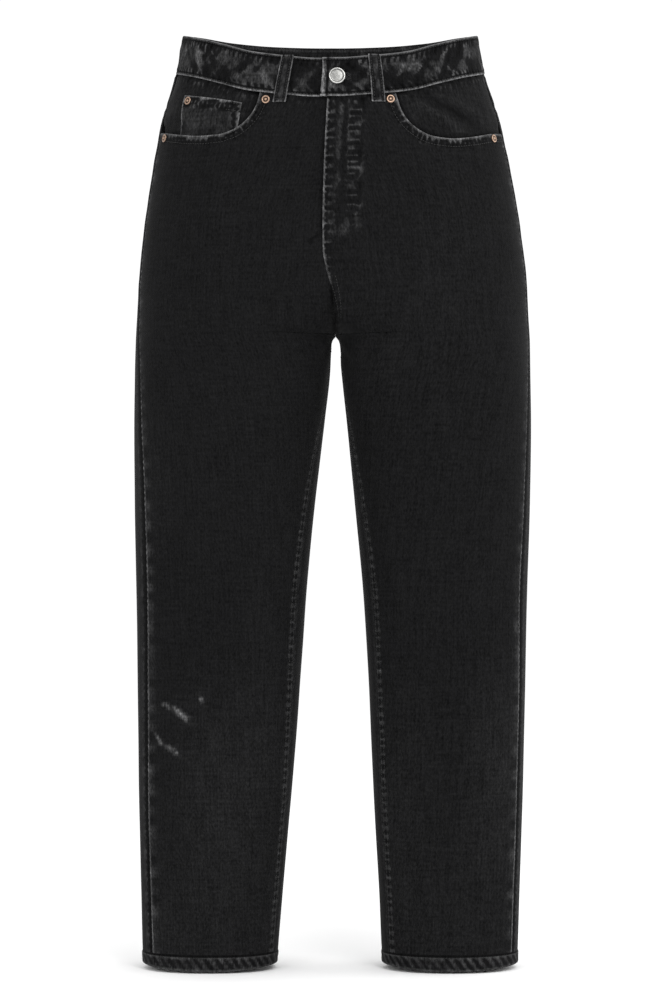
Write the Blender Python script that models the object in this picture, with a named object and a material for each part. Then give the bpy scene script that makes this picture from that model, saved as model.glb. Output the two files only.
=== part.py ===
"""Straight five-pocket jeans in washed black denim, filled out as if worn, with nobody in them.

Metres, +Z up. The front faces -Y and the wearer's left is +X. The origin is the middle of the waist,
where the wearer holds the jeans up. Every cloth piece is a wall cut from one shared body surface:
a piece is an outline in that surface's own coordinates, moved out or in by the layers under it.
"""

import math
from collections import namedtuple

import bmesh
import bpy
import numpy as np
from mathutils import Matrix, Vector
from mathutils.geometry import delaunay_2d_cdt

MM = 0.001

# Sections of the worn garment, from the waist down, in millimetres and degrees. x_ columns are the
# outer and inner sides of each leg (above the crotch both inner ones are the middle line), front and
# back are depths from the middle plane, and the seam angles are turned from the leg's side to its front.
Section = namedtuple(
    "Section",
    "z x_right_outer x_right_inner x_left_inner x_left_outer front back "
    "outseam_right outseam_left inseam_right inseam_left",
)
SECTIONS = (
    Section(40, -150.6, 0.0, 0.0, 151.2, 85, 83, 9, 9, 0, 0),
    Section(-10, -160.0, 0.0, 0.0, 160.6, 91, 91, 9, 9, 0, 0),
    Section(-57, -174.3, 0.0, 0.0, 176.5, 98, 104, 10, 11, 0, 0),
    Section(-100, -183.0, 0.0, 0.0, 186.2, 103, 116, 12, 11, 0, 0),
    Section(-160, -192.6, 0.0, 0.0, 196.8, 106, 123, 11, 9, 0, 0),
    Section(-216, -198.3, 0.8, 0.8, 203.8, 105, 119, 11, 9, 0, 0),
    Section(-280, -202.0, 5.7, 5.7, 207.3, 100, 105, 19, 15, 0, 0),
    Section(-285, -202.2, 2.4, 9.3, 207.5, 99.6, 103.9, 20, 15, 1, 1),
    Section(-319, -203.1, 0.5, 12.2, 207.9, 96, 94, 24, 17, 9, 9),
    Section(-371, -203.4, -5.2, 17.1, 208.4, 91, 84, 27, 21, 20, 18),
    Section(-450, -202.6, -14.7, 25.1, 207.4, 84, 72, 31, 25, 25, 23),
    Section(-555, -200.6, -24.7, 34.8, 204.4, 74, 59, 33, 28, 29, 29),
    Section(-660, -199.8, -31.8, 40.8, 202.6, 65, 57, 33, 26, 26, 28),
    Section(-765, -198.4, -40.6, 45.4, 200.1, 57, 58, 32, 26, 22, 28),
    Section(-870, -195.9, -49.9, 51.2, 196.8, 51, 55, 34, 27, 22, 28),
    Section(-950, -194.1, -56.8, 55.2, 193.9, 48, 53, 35, 27, 21, 28),
)
# Height of the waistband's top edge, by degrees round the waist from the front middle
TopEdge = namedtuple("TopEdge", "angle z")
WAIST_TOP = (
    TopEdge(0, -2.0),
    TopEdge(4, -2.0),
    TopEdge(14, 0.2),
    TopEdge(20, 2.3),
    TopEdge(30, 6.5),
    TopEdge(41, 14.3),
    TopEdge(56, 22.8),
    TopEdge(75, 29.3),
    TopEdge(90, 32.5),
    TopEdge(120, 36.0),
    TopEdge(140, 33.5),
    TopEdge(158, 31.6),
    TopEdge(176, 31.0),
    TopEdge(180, 31.0),
)
SQUARENESS = 0.03  # how far a section's corners stand out of an ellipse, as a share of its size
THIGH_SQUARENESS = 0.09  # the same on the inner half of the legs, added at the crotch and fading away from it

# Levels and heights
CROTCH_Z = -280 * MM
HEM_Z = -930.2 * MM
HEM_DIP = 4.5 * MM
HEM_HEIGHT = 13.5 * MM
BAND_HEIGHT = 40 * MM
FRONT_GROOVE = 85 * MM  # how far above the crotch the fold between the thighs starts
BACK_GROOVE = 170 * MM

# Cloth
CLOTH = 1.6 * MM
GAP = 0.3 * MM
BAND_INSIDE, BAND_OUTSIDE = -1.6 * MM, 0.8 * MM
HEM_INSIDE, HEM_OUTSIDE = -2.0 * MM, 0.5 * MM
PANEL_WIDTH = 200 * MM  # a panel's nominal width, which scales its first coordinate

# Front opening. The fly's edge and the seam under it are the front's middle line; it lies to the wearer's
# right of the middle at the fly, and laps over the right front.
Level = namedtuple("Level", "z x")
FRONT_MIDDLE = (
    Level(40, 0),
    Level(-43, -2.6),
    Level(-98, -5.4),
    Level(-168, -7.2),
    Level(-197, -7.0),
    Level(-214, -4.3),
    Level(-236, 1.0),
    Level(-258, 4.2),
    Level(-280, 5.7),
)
FLY_BOTTOM_Z = -190 * MM
FLY_WIDTH = 38 * MM
FLY_LIFT = 2.1 * MM
FLY_RAMP = 9 * MM
UNDERLAP = 12 * MM
WAIST_RADIUS = 157 * MM  # turns an angle round the waist into a length
LAP_START = -8.4 * MM  # the overlapping end of the waistband, as x at the front
LAP_END = 34 * MM  # the end that it covers
LAP_LIFT = 2.8 * MM
LAP_RAMP = 26 * MM

# Front pockets: the mouth bends down from the waist seam and out to the side seam. x is measured from the
# middle, and the first point's height is the waist seam's own.
Point = namedtuple("Point", "x z")
MOUTHS = {
    "right": (
        Point(70.7, -40.0),
        Point(75.2, -50.5),
        Point(81.7, -61.0),
        Point(90.6, -69.5),
        Point(101.7, -75.5),
        Point(115.0, -78.6),
        Point(132.3, -79.0),
        Point(155.1, -76.0),
        Point(168.5, -72.5),
    ),
    "left": (
        Point(66.8, -37.0),
        Point(72.0, -53.0),
        Point(80.2, -66.0),
        Point(91.2, -74.8),
        Point(105.0, -80.6),
        Point(124.0, -82.2),
        Point(146.1, -79.2),
        Point(165.3, -74.0),
    ),
}
MOUTH_SIDE_Z = {"right": -70.5 * MM, "left": -71.5 * MM}
FACING_DEPTH = {"right": 3.8 * MM, "left": 2.2 * MM}
FACING_UNDERLAP = 14 * MM
FACING_SLOPE = 26 * MM  # how far the facing takes to come up from the mouth, and the same at the side seam
FACING_SIDE_SLOPE = 10 * MM
COIN_TOP_OUTER = (-148 * MM, -35.5 * MM)
COIN_TOP_INNER = (-89.8 * MM, -46.5 * MM)
COIN_SIDE_SLANT = 7.5 * MM
COIN_UNDERLAP = 6 * MM

# Back
YOKE_SIDE, YOKE_MIDDLE = 34 * MM, 68 * MM
POCKET_FROM_MIDDLE = 46 * MM
POCKET_TOP_WIDTH, POCKET_LOW_WIDTH = 140 * MM, 118 * MM
POCKET_SIDE_HEIGHT, POCKET_POINT_HEIGHT = 128 * MM, 150 * MM
POCKET_BELOW_YOKE = 16 * MM
POCKET_WALL = 1.5 * MM

# Belt loops: angle round the waist from the front middle, at the top and at the foot, in degrees
Loop = namedtuple("Loop", "name top foot")
LOOPS = (
    Loop("belt_loop_front_right", -15.2, -16.5),
    Loop("belt_loop_front_left", 16.5, 17.0),
    Loop("belt_loop_side_right", -116, -116),
    Loop("belt_loop_side_left", 116, 116),
    Loop("belt_loop_back", 180, 180),
)
LOOP_WIDTH = 12.6 * MM
LOOP_WALL = 1.8 * MM
LOOP_BELOW_BAND = 8 * MM
LOOP_BULGE = 2.6 * MM

# Metal
BUTTON_RADIUS = 8.4 * MM
BUTTON_X, BUTTON_Z = 7.2 * MM, -21.8 * MM
BUTTON_STAND = 1.0 * MM
SHANK_RADIUS = 1.7 * MM
BUTTONHOLE_LENGTH = 17 * MM
BUTTONHOLE_WIDTH = 4.6 * MM
RIVET_RADIUS = 4.3 * MM
Rivet = namedtuple("Rivet", "name side x z")
RIVETS = (
    Rivet("rivet_right_inner", "right", -64.9 * MM, -44.4 * MM),
    Rivet("rivet_right_outer", "right", -170.0 * MM, -77.5 * MM),
    Rivet("rivet_left_inner", "left", 61.4 * MM, -43.8 * MM),
    Rivet("rivet_left_outer", "left", 168.0 * MM, -78.5 * MM),
    Rivet("rivet_coin_pocket", "right", -144.2 * MM, -42.0 * MM),
)

# Mesh steps
LEG_STEP = (20 * MM, 30 * MM)
CROTCH_STEP = 60 * MM  # height over which rows bunch up towards the crotch
SIGN = {"right": -1.0, "left": 1.0}


def column(name):
    """One column of the section table as (heights, values), lowest height first."""
    rows = sorted(SECTIONS, key=lambda row: row.z)
    z = np.array([row.z for row in rows], float) * MM
    return z, np.array([getattr(row, name) for row in rows], float)


def smooth(z, table_z, values):
    """Monotone cubic interpolation, so that an outline never overshoots its rows."""
    step = np.diff(table_z)
    slope = np.diff(values) / step
    tangent = np.zeros(len(values))
    same_way = slope[:-1] * slope[1:] > 0
    inner = np.zeros(len(slope) - 1)
    both = (slope[:-1] + slope[1:])[same_way]
    inner[same_way] = 2 * (slope[:-1] * slope[1:])[same_way] / both
    tangent[1:-1] = inner
    tangent[0], tangent[-1] = slope[0], slope[-1]
    i = np.clip(np.searchsorted(table_z, z) - 1, 0, len(step) - 1)
    t = np.clip((z - table_z[i]) / step[i], 0, 1)
    h = step[i]
    return (
        values[i] * (2 * t**3 - 3 * t**2 + 1)
        + values[i + 1] * (3 * t**2 - 2 * t**3)
        + h * tangent[i] * (t**3 - 2 * t**2 + t)
        + h * tangent[i + 1] * (t**3 - t**2)
    )


def section_value(name, z):
    return smooth(z, *column(name))


def ease(t):
    t = np.clip(t, 0, 1)
    return t * t * (3 - 2 * t)


def middle(z, back):
    """x of the line between the two halves, down the front or down the back."""
    z = np.maximum(z, CROTCH_Z)
    rows = sorted(FRONT_MIDDLE)
    front = smooth(z, np.array([r.z for r in rows]) * MM, np.array([r.x for r in rows], float))
    return np.where(back, section_value("x_right_inner", z), front) * MM


def groove(z, reach):
    """0 where the torso is one oval, 1 at the crotch where it has become two legs."""
    t = np.clip((z - CROTCH_Z) / reach, 0, 1)
    return (1 - t) ** 2


def half_section(side, z, back):
    """(centre, half width, middle line, y centre, half depth) of one leg's ellipse, or of half the torso."""
    mid = middle(z, back)
    outer = np.abs(section_value(f"x_{side}_outer", z) * MM - mid)
    inner = np.abs(section_value(f"x_{side}_inner", z) * MM - mid)
    pinch = np.where(back, groove(z, BACK_GROOVE), groove(z, FRONT_GROOVE))
    share = pinch / (1 + pinch)
    torso = z > CROTCH_Z
    centre = np.where(torso, share * outer, (outer + inner) / 2)
    half_width = np.where(torso, outer - centre, (outer - inner) / 2)
    front, rear = section_value("front", z) * MM, section_value("back", z) * MM
    return centre, half_width, mid, (rear - front) / 2, (front + rear) / 2


def swell(phi, z):
    near = np.where(z > CROTCH_Z, ease(1 - (z - CROTCH_Z) / (90 * MM)), ease(1 - (CROTCH_Z - z) / (190 * MM)))
    inner = np.where(np.cos(phi) > 0, THIGH_SQUARENESS * near, 0.0)
    return 1 + (SQUARENESS + inner) * np.sin(2 * phi) ** 2


def surface(side, phi, z):
    """Points of the body surface. phi is 0 at the inner leg, 90 degrees at the front and 180 at the side."""
    phi, z = np.broadcast_arrays(np.asarray(phi, float), np.asarray(z, float))
    centre, half_width, mid, y_centre, half_depth = half_section(side, z, np.sin(phi) < 0)
    out = swell(phi, z)
    x = mid + SIGN[side] * (GAP / 2 + centre - half_width * np.cos(phi) * out)
    y = y_centre - half_depth * np.sin(phi) * out
    return np.stack([x, y, z], axis=-1)


def surface_normal(side, phi, z):
    d_phi, d_z = 1e-4, 0.05 * MM
    along = surface(side, phi + d_phi, z) - surface(side, phi - d_phi, z)
    up = surface(side, phi, z + d_z) - surface(side, phi, z - d_z)
    out = np.cross(along, up) * SIGN[side]
    return out / np.linalg.norm(out, axis=-1, keepdims=True)


def phi_at_x(side, x, z, back=False):
    """The angle at which the front or back of a half passes x."""
    centre, half_width, mid, _, _ = half_section(side, z, np.full(np.shape(z), back))
    wanted = (centre + GAP / 2 - SIGN[side] * (x - mid)) / half_width
    phi = np.arccos(np.clip(wanted, -1, 1))
    for _ in range(20):
        phi = np.arccos(np.clip(wanted / swell(phi, z), -1, 1))
    return 2 * math.pi - phi if back else phi


def panel_ends(side, back, z):
    """(angle at the outseam, angle at the inner edge) of a front or back panel at height z."""
    outseam = math.pi - np.radians(section_value(f"outseam_{side}", z))
    inseam = np.radians(section_value(f"inseam_{side}", z))
    edge = middle(z, back) + SIGN[side] * GAP / 2
    if side == "right" and not back:
        edge = edge + ease((z - FLY_BOTTOM_Z - 3 * MM) / (7 * MM)) * UNDERLAP
    rise = phi_at_x(side, edge, z, back)
    return outseam, np.where(z > CROTCH_Z, rise, 2 * math.pi + inseam if back else inseam)


class Panel:
    """A front or back panel's coordinates: u runs from the outseam (0) to the inner edge (1) by arc length,
    and v is the height, measured so that rows bunch up under the crotch on the inner side."""

    COLUMNS = 97

    def __init__(self, side, back):
        self.side, self.back = side, back
        below = np.linspace(-960 * MM, CROTCH_Z, 150)
        above = CROTCH_Z + (45 * MM - CROTCH_Z) * np.linspace(0, 1, 150)[1:] ** 2
        self.z = np.concatenate([below, above])
        start, end = panel_ends(side, back, self.z)
        share = np.linspace(0, 1, self.COLUMNS)
        phi = start[:, None] + (end - start)[:, None] * share
        points = surface(side, phi, self.z[:, None])
        steps = np.linalg.norm(np.diff(points, axis=1), axis=2)
        arc = np.concatenate([np.zeros((len(self.z), 1)), np.cumsum(steps, axis=1)], axis=1)
        self.length = arc[:, -1]
        even = [np.interp(share, a / a[-1], p) for a, p in zip(arc, phi)]
        self.phi = np.array(even)

    def row_length(self, z):
        return np.interp(z, self.z, self.length)

    def angle(self, u, z):
        """The angle at u and z, read from the table of even arc lengths."""
        u, z = np.broadcast_arrays(np.asarray(u, float), np.asarray(z, float))
        row = np.clip(np.searchsorted(self.z, z) - 1, 0, len(self.z) - 2)
        t = np.clip((z - self.z[row]) / (self.z[row + 1] - self.z[row]), 0, 1)
        place = np.clip(u, 0, 1) * (self.COLUMNS - 1)
        col = np.minimum(place.astype(int), self.COLUMNS - 2)
        s = place - col
        low = self.phi[row, col] * (1 - s) + self.phi[row, col + 1] * s
        high = self.phi[row + 1, col] * (1 - s) + self.phi[row + 1, col + 1] * s
        return low * (1 - t) + high * t

    def height(self, u, v):
        """z at u and v. On the inner side heights above the crotch start off as a square, so rows fan out."""
        weight = ease(u)
        near = np.where(v < CROTCH_STEP, v * v / (2 * CROTCH_STEP), v - CROTCH_STEP / 2)
        total = 320 * MM
        even = v * (total - CROTCH_STEP / 2) / total
        return CROTCH_Z + np.where(v <= 0, v, (1 - weight) * even + weight * near)

    def level(self, u, z):
        """v at u and z, the other way round, by halving."""
        u, z = np.broadcast_arrays(np.asarray(u, float), np.asarray(z, float))
        low, high = np.full(z.shape, -0.7), np.full(z.shape, 0.5)
        for _ in range(44):
            half = (low + high) / 2
            below = self.height(u, half) < z
            low, high = np.where(below, half, low), np.where(below, high, half)
        return (low + high) / 2

    def share_at(self, phi, z):
        """u at an angle, found on the table."""
        z = np.asarray(z, float)
        flat = []
        for p, height in zip(np.ravel(phi), np.ravel(np.broadcast_to(z, np.shape(phi)))):
            row = self.angle(np.linspace(0, 1, self.COLUMNS), height)
            order = np.argsort(row)
            flat.append(np.interp(p, row[order], np.linspace(0, 1, self.COLUMNS)[order]))
        return np.array(flat).reshape(np.shape(phi))

    def share_at_x(self, x, z):
        x, z = np.broadcast_arrays(np.asarray(x, float), np.asarray(z, float))
        return self.share_at(phi_at_x(self.side, x, z, self.back), z)

    def place(self, plane):
        """(points, normals, u, z) on the surface for points (u * PANEL_WIDTH, v) of the plane."""
        u = plane[:, 0] / PANEL_WIDTH
        z = self.height(u, plane[:, 1])
        phi = self.angle(u, z)
        return surface(self.side, phi, z), surface_normal(self.side, phi, z), u, z

    def plane(self, u, z):
        u, z = np.broadcast_arrays(np.asarray(u, float), np.asarray(z, float))
        return np.stack([u * PANEL_WIDTH, self.level(u, z)], axis=-1)

    def inset(self, z, amount=GAP / 2):
        return amount / self.row_length(z)


def waist_top(angle):
    """Height of the waistband's top edge at an angle round the waist from the front middle."""
    angles = np.array([row.angle for row in WAIST_TOP], float)
    return smooth(np.degrees(np.abs(angle)), angles, np.array([row.z for row in WAIST_TOP])) * MM


def waist_seam(panel, u):
    """Height of the waist seam at u of a panel."""
    z = np.full(np.shape(u), -20 * MM)
    for _ in range(8):
        z = waist_top(panel.angle(u, z) - math.pi / 2) - BAND_HEIGHT
    return z


def resampled(line, step):
    """The line with points added so that none are further apart than step."""
    line = np.asarray(line, float)
    made = []
    for a, b in zip(line[:-1], line[1:]):
        n = max(1, math.ceil(float(np.linalg.norm(b - a)) / step))
        made += [a + (b - a) * k / n for k in range(n)]
    made.append(line[-1])
    return np.array(made)


def thinned(line, step):
    """The line with points evenly spaced about step apart."""
    along = np.concatenate([[0], np.cumsum(np.linalg.norm(np.diff(line, axis=0), axis=1))])
    at = np.linspace(0, along[-1], max(2, round(along[-1] / step) + 1))
    return np.stack([np.interp(at, along, line[:, k]) for k in range(2)], axis=1)


def inside(points, ring):
    """Whether each point is inside the ring."""
    x, y = points[:, 0], points[:, 1]
    found = np.zeros(len(points), bool)
    for (x0, y0), (x1, y1) in zip(ring, np.roll(ring, -1, axis=0)):
        if y0 == y1:
            continue
        crosses = (y0 > y) != (y1 > y)
        found ^= crosses & (x < (x1 - x0) * (y - y0) / (y1 - y0) + x0)
    return found


def distance_to(points, line):
    """Shortest distance from each point to a line."""
    best = np.full(len(points), np.inf)
    for a, b in zip(line[:-1], line[1:]):
        d = b - a
        t = np.clip(((points - a) @ d) / max(float(d @ d), 1e-18), 0, 1)
        best = np.minimum(best, np.linalg.norm(points - a - t[:, None] * d, axis=1))
    return best


def triangulated(ring, lines, step):
    """(points, triangles) of the region inside a ring, with edges along the lines and a grid between."""
    chains = [np.concatenate([ring, ring[:1]])] + list(lines)
    low, high = ring.min(axis=0), ring.max(axis=0)
    counts = [max(1, round((high[k] - low[k]) / step[k])) for k in range(2)]
    axes = [np.linspace(low[k], high[k], counts[k] + 1) for k in range(2)]
    grid = np.stack(np.meshgrid(*axes), axis=-1).reshape(-1, 2)
    grid = grid[inside(grid, ring)]
    scale = np.array([1.0, step[0] / step[1]])
    for chain in chains:
        grid = grid[distance_to(grid * scale, chain * scale) > 0.42 * step[0]]
    points, edges = [], []
    for chain in chains:
        edges += [(len(points) + k, len(points) + k + 1) for k in range(len(chain) - 1)]
        points += list(chain)
    points += list(grid)
    unit = 1 / MM  # the triangulator works best near a size of one
    found = delaunay_2d_cdt([Vector(p * unit) for p in points], edges, [], 1, 1e-3)
    plane = np.array([tuple(p) for p in found[0]]) / unit
    triangles = np.array([tuple(t) for t in found[2]])
    return plane, triangles[inside(plane[triangles].mean(axis=1), ring)]


def material(name, colour, roughness, metallic=0.0):
    made = bpy.data.materials.get(name) or bpy.data.materials.new(name)
    made.use_nodes = True
    shader = made.node_tree.nodes["Principled BSDF"]
    shader.inputs["Base Color"].default_value = (*colour, 1)
    shader.inputs["Roughness"].default_value = roughness
    shader.inputs["Metallic"].default_value = metallic
    return made


def add_object(name, points, faces, finish):
    mesh = bpy.data.meshes.new(name)
    mesh.from_pydata([tuple(p) for p in points], [], [tuple(f) for f in faces])
    mesh.materials.append(finish)
    mesh.shade_smooth()
    mesh.set_sharp_from_angle(angle=math.radians(50))
    obj = bpy.data.objects.new(name, mesh)
    bpy.context.scene.collection.objects.link(obj)
    return obj


def closed_wall(name, inner, outer, triangles, finish):
    """A solid between two copies of a triangulated sheet, with a rim along its open edges."""
    n = len(outer)
    used = {}
    for t in triangles:
        for a, b in zip(t, t[1:] + t[:1]):
            used[(a, b)] = used.get((a, b), 0) + 1
    rim = [(a, b) for a, b in used if (b, a) not in used]
    faces = list(triangles)
    faces += [tuple(n + i for i in reversed(t)) for t in triangles]
    faces += [(b, a, n + a, n + b) for a, b in rim]
    return add_object(name, np.concatenate([outer, inner]), faces, finish)


def panel_piece(name, panel, part, low, high, finish):
    """A wall over a part of a panel's triangles, between the offsets low(u, z) and high(u, z)."""
    plane, triangles = panel.plan
    triangles = triangles[part(plane[triangles].mean(axis=1))]
    used = np.unique(triangles)
    renumber = np.zeros(len(plane), int)
    renumber[used] = np.arange(len(used))
    triangles = renumber[triangles]
    points, normals, u, z = panel.place(plane[used])
    outer = points + normals * high(u, z)[:, None]
    inner = points + normals * low(u, z)[:, None]
    return closed_wall(name, inner, outer, facing_out(triangles, inner, outer), finish)


def facing_out(triangles, inner, outer):
    """The triangles, wound to face from the inner points to the outer ones."""
    a, b, c = (outer[triangles[:, k]] for k in range(3))
    away = (outer - inner)[triangles[:, 0]]
    if (np.cross(b - a, c - a) * away).sum() < 0:
        triangles = triangles[:, ::-1]
    return [tuple(int(i) for i in t) for t in triangles]


def strip_wall(name, rows, finish, closed=False):
    """A solid from a grid of (inner, outer) points, rows by columns, open or joined round its columns."""
    inner, outer = rows
    n_rows, n_columns = outer.shape[:2]
    triangles = []
    last = n_columns if closed else n_columns - 1
    for i in range(n_rows - 1):
        for j in range(last):
            k = (j + 1) % n_columns
            a, b = i * n_columns + j, i * n_columns + k
            c, d = (i + 1) * n_columns + k, (i + 1) * n_columns + j
            triangles += [(a, b, c), (a, c, d)]
    inner, outer = inner.reshape(-1, 3), outer.reshape(-1, 3)
    return closed_wall(name, inner, outer, facing_out(np.array(triangles), inner, outer), finish)


def constant(value):
    return lambda u, z: np.full(len(u), value)


def waist_place(angle, z):
    """(points, normals) on the torso at an angle round the waist from the front middle."""
    angle, z = np.broadcast_arrays(np.asarray(angle, float), np.asarray(z, float))
    turned = (angle + math.pi) % (2 * math.pi) - math.pi
    phi = math.pi / 2 + np.abs(turned)
    left = turned >= 0
    points = np.where(left[..., None], surface("left", phi, z), surface("right", phi, z))
    points[..., 0] -= np.where(left, GAP / 2, -GAP / 2)
    normals = np.where(
        left[..., None], surface_normal("left", phi, z), surface_normal("right", phi, z)
    )
    return points, normals


def angle_at_x(x, z):
    """The angle round the waist at which the front passes x."""
    side = "left" if x >= float(middle(z, False)) else "right"
    phi = phi_at_x(side, np.array([x + SIGN[side] * GAP / 2]), np.array([z]))
    return SIGN[side] * (float(phi[0]) - math.pi / 2)


def mouth_line(side, panel):
    """The pocket mouth in a panel's plane, from the waist seam to the side seam."""
    sign = SIGN[side]
    x = np.array([point.x for point in MOUTHS[side]]) * MM
    z = np.array([point.z for point in MOUTHS[side]]) * MM
    for _ in range(6):
        z[0] = float(waist_seam(panel, panel.share_at_x(sign * x[:1], z[:1]))[0]) - GAP
    side_z = MOUTH_SIDE_Z[side]
    x = np.append(x, float(surface(side, panel.angle(0.0, side_z), side_z)[0]) * sign)
    z = np.append(z, side_z)
    knots = np.arange(len(x), dtype=float)
    along = np.linspace(0, len(x) - 1, 4 * len(x) - 3)
    x, z = smooth(along, knots, x), smooth(along, knots, z)
    u = panel.share_at_x(sign * x, z)
    u[-1] = 0.0
    return panel.plane(u, z)


def seam_heights(z_from, z_to):
    """The heights of a seam's points, shared by the panels on both its sides."""
    steps = np.arange(HEM_Z + HEM_HEIGHT + GAP, 60 * MM, 29 * MM)
    between = steps[(steps > min(z_from, z_to) + 4 * MM) & (steps < max(z_from, z_to) - 4 * MM)]
    ordered = between if z_from < z_to else between[::-1]
    return np.concatenate([[z_from], ordered, [z_to]])


def outer_edge(panel, z_from, z_to):
    """Points up a panel's outseam, one of them at the end of the yoke's seam."""
    yoke_z = float(waist_seam(panel, 0.0)) - YOKE_SIDE
    z = np.sort(np.append(seam_heights(z_from, z_to), yoke_z))
    return panel.plane(panel.inset(z), z)


def inner_edge(panel, z_from, z_to):
    """Points down a panel's inner edge, closer together round the crotch."""
    top, near = float(panel.level(1.0, z_from)), 60 * MM
    rise = np.concatenate([np.linspace(top, near, 10)[:-1], np.linspace(near, 0, 9)])
    below = seam_heights(CROTCH_Z, z_to)[1:]
    under = CROTCH_Z - np.array([2, 6, 12, 20]) * MM
    z = np.unique(np.concatenate([panel.height(np.ones(len(rise)), rise), under, below]))[::-1]
    return panel.plane(1 - panel.inset(z), z)


def waist_edge(panel, u_from, u_to, count):
    u = np.linspace(u_from, u_to, count)
    return panel.plane(u, waist_seam(panel, u) - GAP)


def ring_of(*lines):
    """Joins lines end to end into one ring, dropping repeated points."""
    points = np.concatenate(lines)
    keep = np.linalg.norm(points - np.roll(points, 1, axis=0), axis=1) > 0.05 * MM
    return points[keep]


def panel_outline(panel):
    """The ring round a whole panel, from the waist seam to the hem."""
    foot = HEM_Z + HEM_HEIGHT + GAP
    side_top = float(waist_seam(panel, 0.0)) - GAP
    inner_top = float(waist_seam(panel, 1.0)) - GAP
    margin = float(panel.inset(foot))
    u = np.linspace(1 - margin, margin, 12)
    return ring_of(
        waist_edge(panel, float(panel.inset(side_top)), 1 - float(panel.inset(inner_top)), 17),
        inner_edge(panel, inner_top, foot)[1:],
        panel.plane(u, foot)[1:],
        outer_edge(panel, foot, side_top)[1:-1],
    )


def above(line):
    """A test for points of the plane over a line that runs across the panel."""
    order = np.argsort(line[:, 0])
    return lambda points: points[:, 1] > np.interp(points[:, 0], line[order, 0], line[order, 1])


def within(ring):
    return lambda points: inside(points, ring)


def fly_inward(panel, distance, z):
    """Points of the plane at a distance inwards from the fly's edge."""
    return panel.plane(1 - distance / panel.row_length(z), z)


def fly_lift(panel, u, z):
    """How far the left front stands out over the fly's inner layers."""
    inward = (1 - u) * panel.row_length(z)
    across = 1 - ease((inward - FLY_WIDTH) / FLY_RAMP)
    down = ease((z - FLY_BOTTOM_Z + 36 * MM) / (26 * MM))
    return FLY_LIFT * across * down


def fly_ring(panel):
    """The facing behind the left front's edge: past the underlap, with a rounded foot."""
    top_z, foot_z = -45 * MM, FLY_BOTTOM_Z + 4 * MM
    near, far, bend = UNDERLAP + 2.5 * MM, FLY_WIDTH - 1 * MM, 32 * MM
    turn = np.linspace(0, math.pi / 2, 7)[1:]
    z = np.concatenate([np.linspace(top_z, foot_z, 10), foot_z + bend * (1 - np.cos(turn))])
    inward = np.concatenate([np.full(10, near), near + (far - near) * np.sin(turn)])
    z_up = np.linspace(foot_z + bend, top_z, 8)[1:]
    ring = fly_inward(panel, np.concatenate([inward, np.full(7, far)]), np.concatenate([z, z_up]))
    return resampled(np.concatenate([ring, ring[:1]]), 16 * MM)[:-1]


def facing_depth(panel, mouth, deepest):
    """How far under the surface a pocket facing lies: level at its seams and deep at the mouth."""
    corner = [-20 * MM, mouth[-1, 1]]
    bag = np.concatenate([mouth, [corner, [corner[0], mouth[0, 1] + 50 * MM], mouth[0] + [0, 50 * MM]]])

    def depth(u, z):
        plane = panel.plane(u, z)
        away = np.where(inside(plane, bag), distance_to(plane, mouth), 0.0)
        from_side = ease(u * panel.row_length(z) / (45 * MM))
        slope = FACING_SIDE_SLOPE + (FACING_SLOPE - FACING_SIDE_SLOPE) * from_side
        return GAP + (deepest - GAP) * (1 - ease((away - 4 * MM) / slope))

    return depth


def moved_out(line, amount):
    """The line moved sideways by amount, to its left."""
    direction = np.gradient(line, axis=0)
    direction /= np.linalg.norm(direction, axis=1, keepdims=True)
    return line + np.stack([-direction[:, 1], direction[:, 0]], axis=1) * amount


def coin_ring(panel, mouth):
    (x0, z0), (x1, z1) = COIN_TOP_OUTER, COIN_TOP_INNER
    across = np.linspace(0, 1, 5)
    x, z = x0 + (x1 - x0) * across, z0 + (z1 - z0) * across
    top = panel.plane(panel.share_at_x(x, z), z)
    low_x = np.array([x0 - COIN_SIDE_SLANT, x1 - COIN_SIDE_SLANT / 2])
    ends = panel.share_at_x(low_x, np.array([-80, -62]) * MM)
    under = moved_out(mouth, COIN_UNDERLAP)[::-1]
    foot_x = np.linspace(ends[1], ends[0], 9) * PANEL_WIDTH
    foot = np.stack([foot_x, np.interp(foot_x, under[:, 0], under[:, 1])], axis=1)
    ring = np.concatenate([top, foot, top[:1]])
    return resampled(ring, 10 * MM)[:-1]


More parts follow.
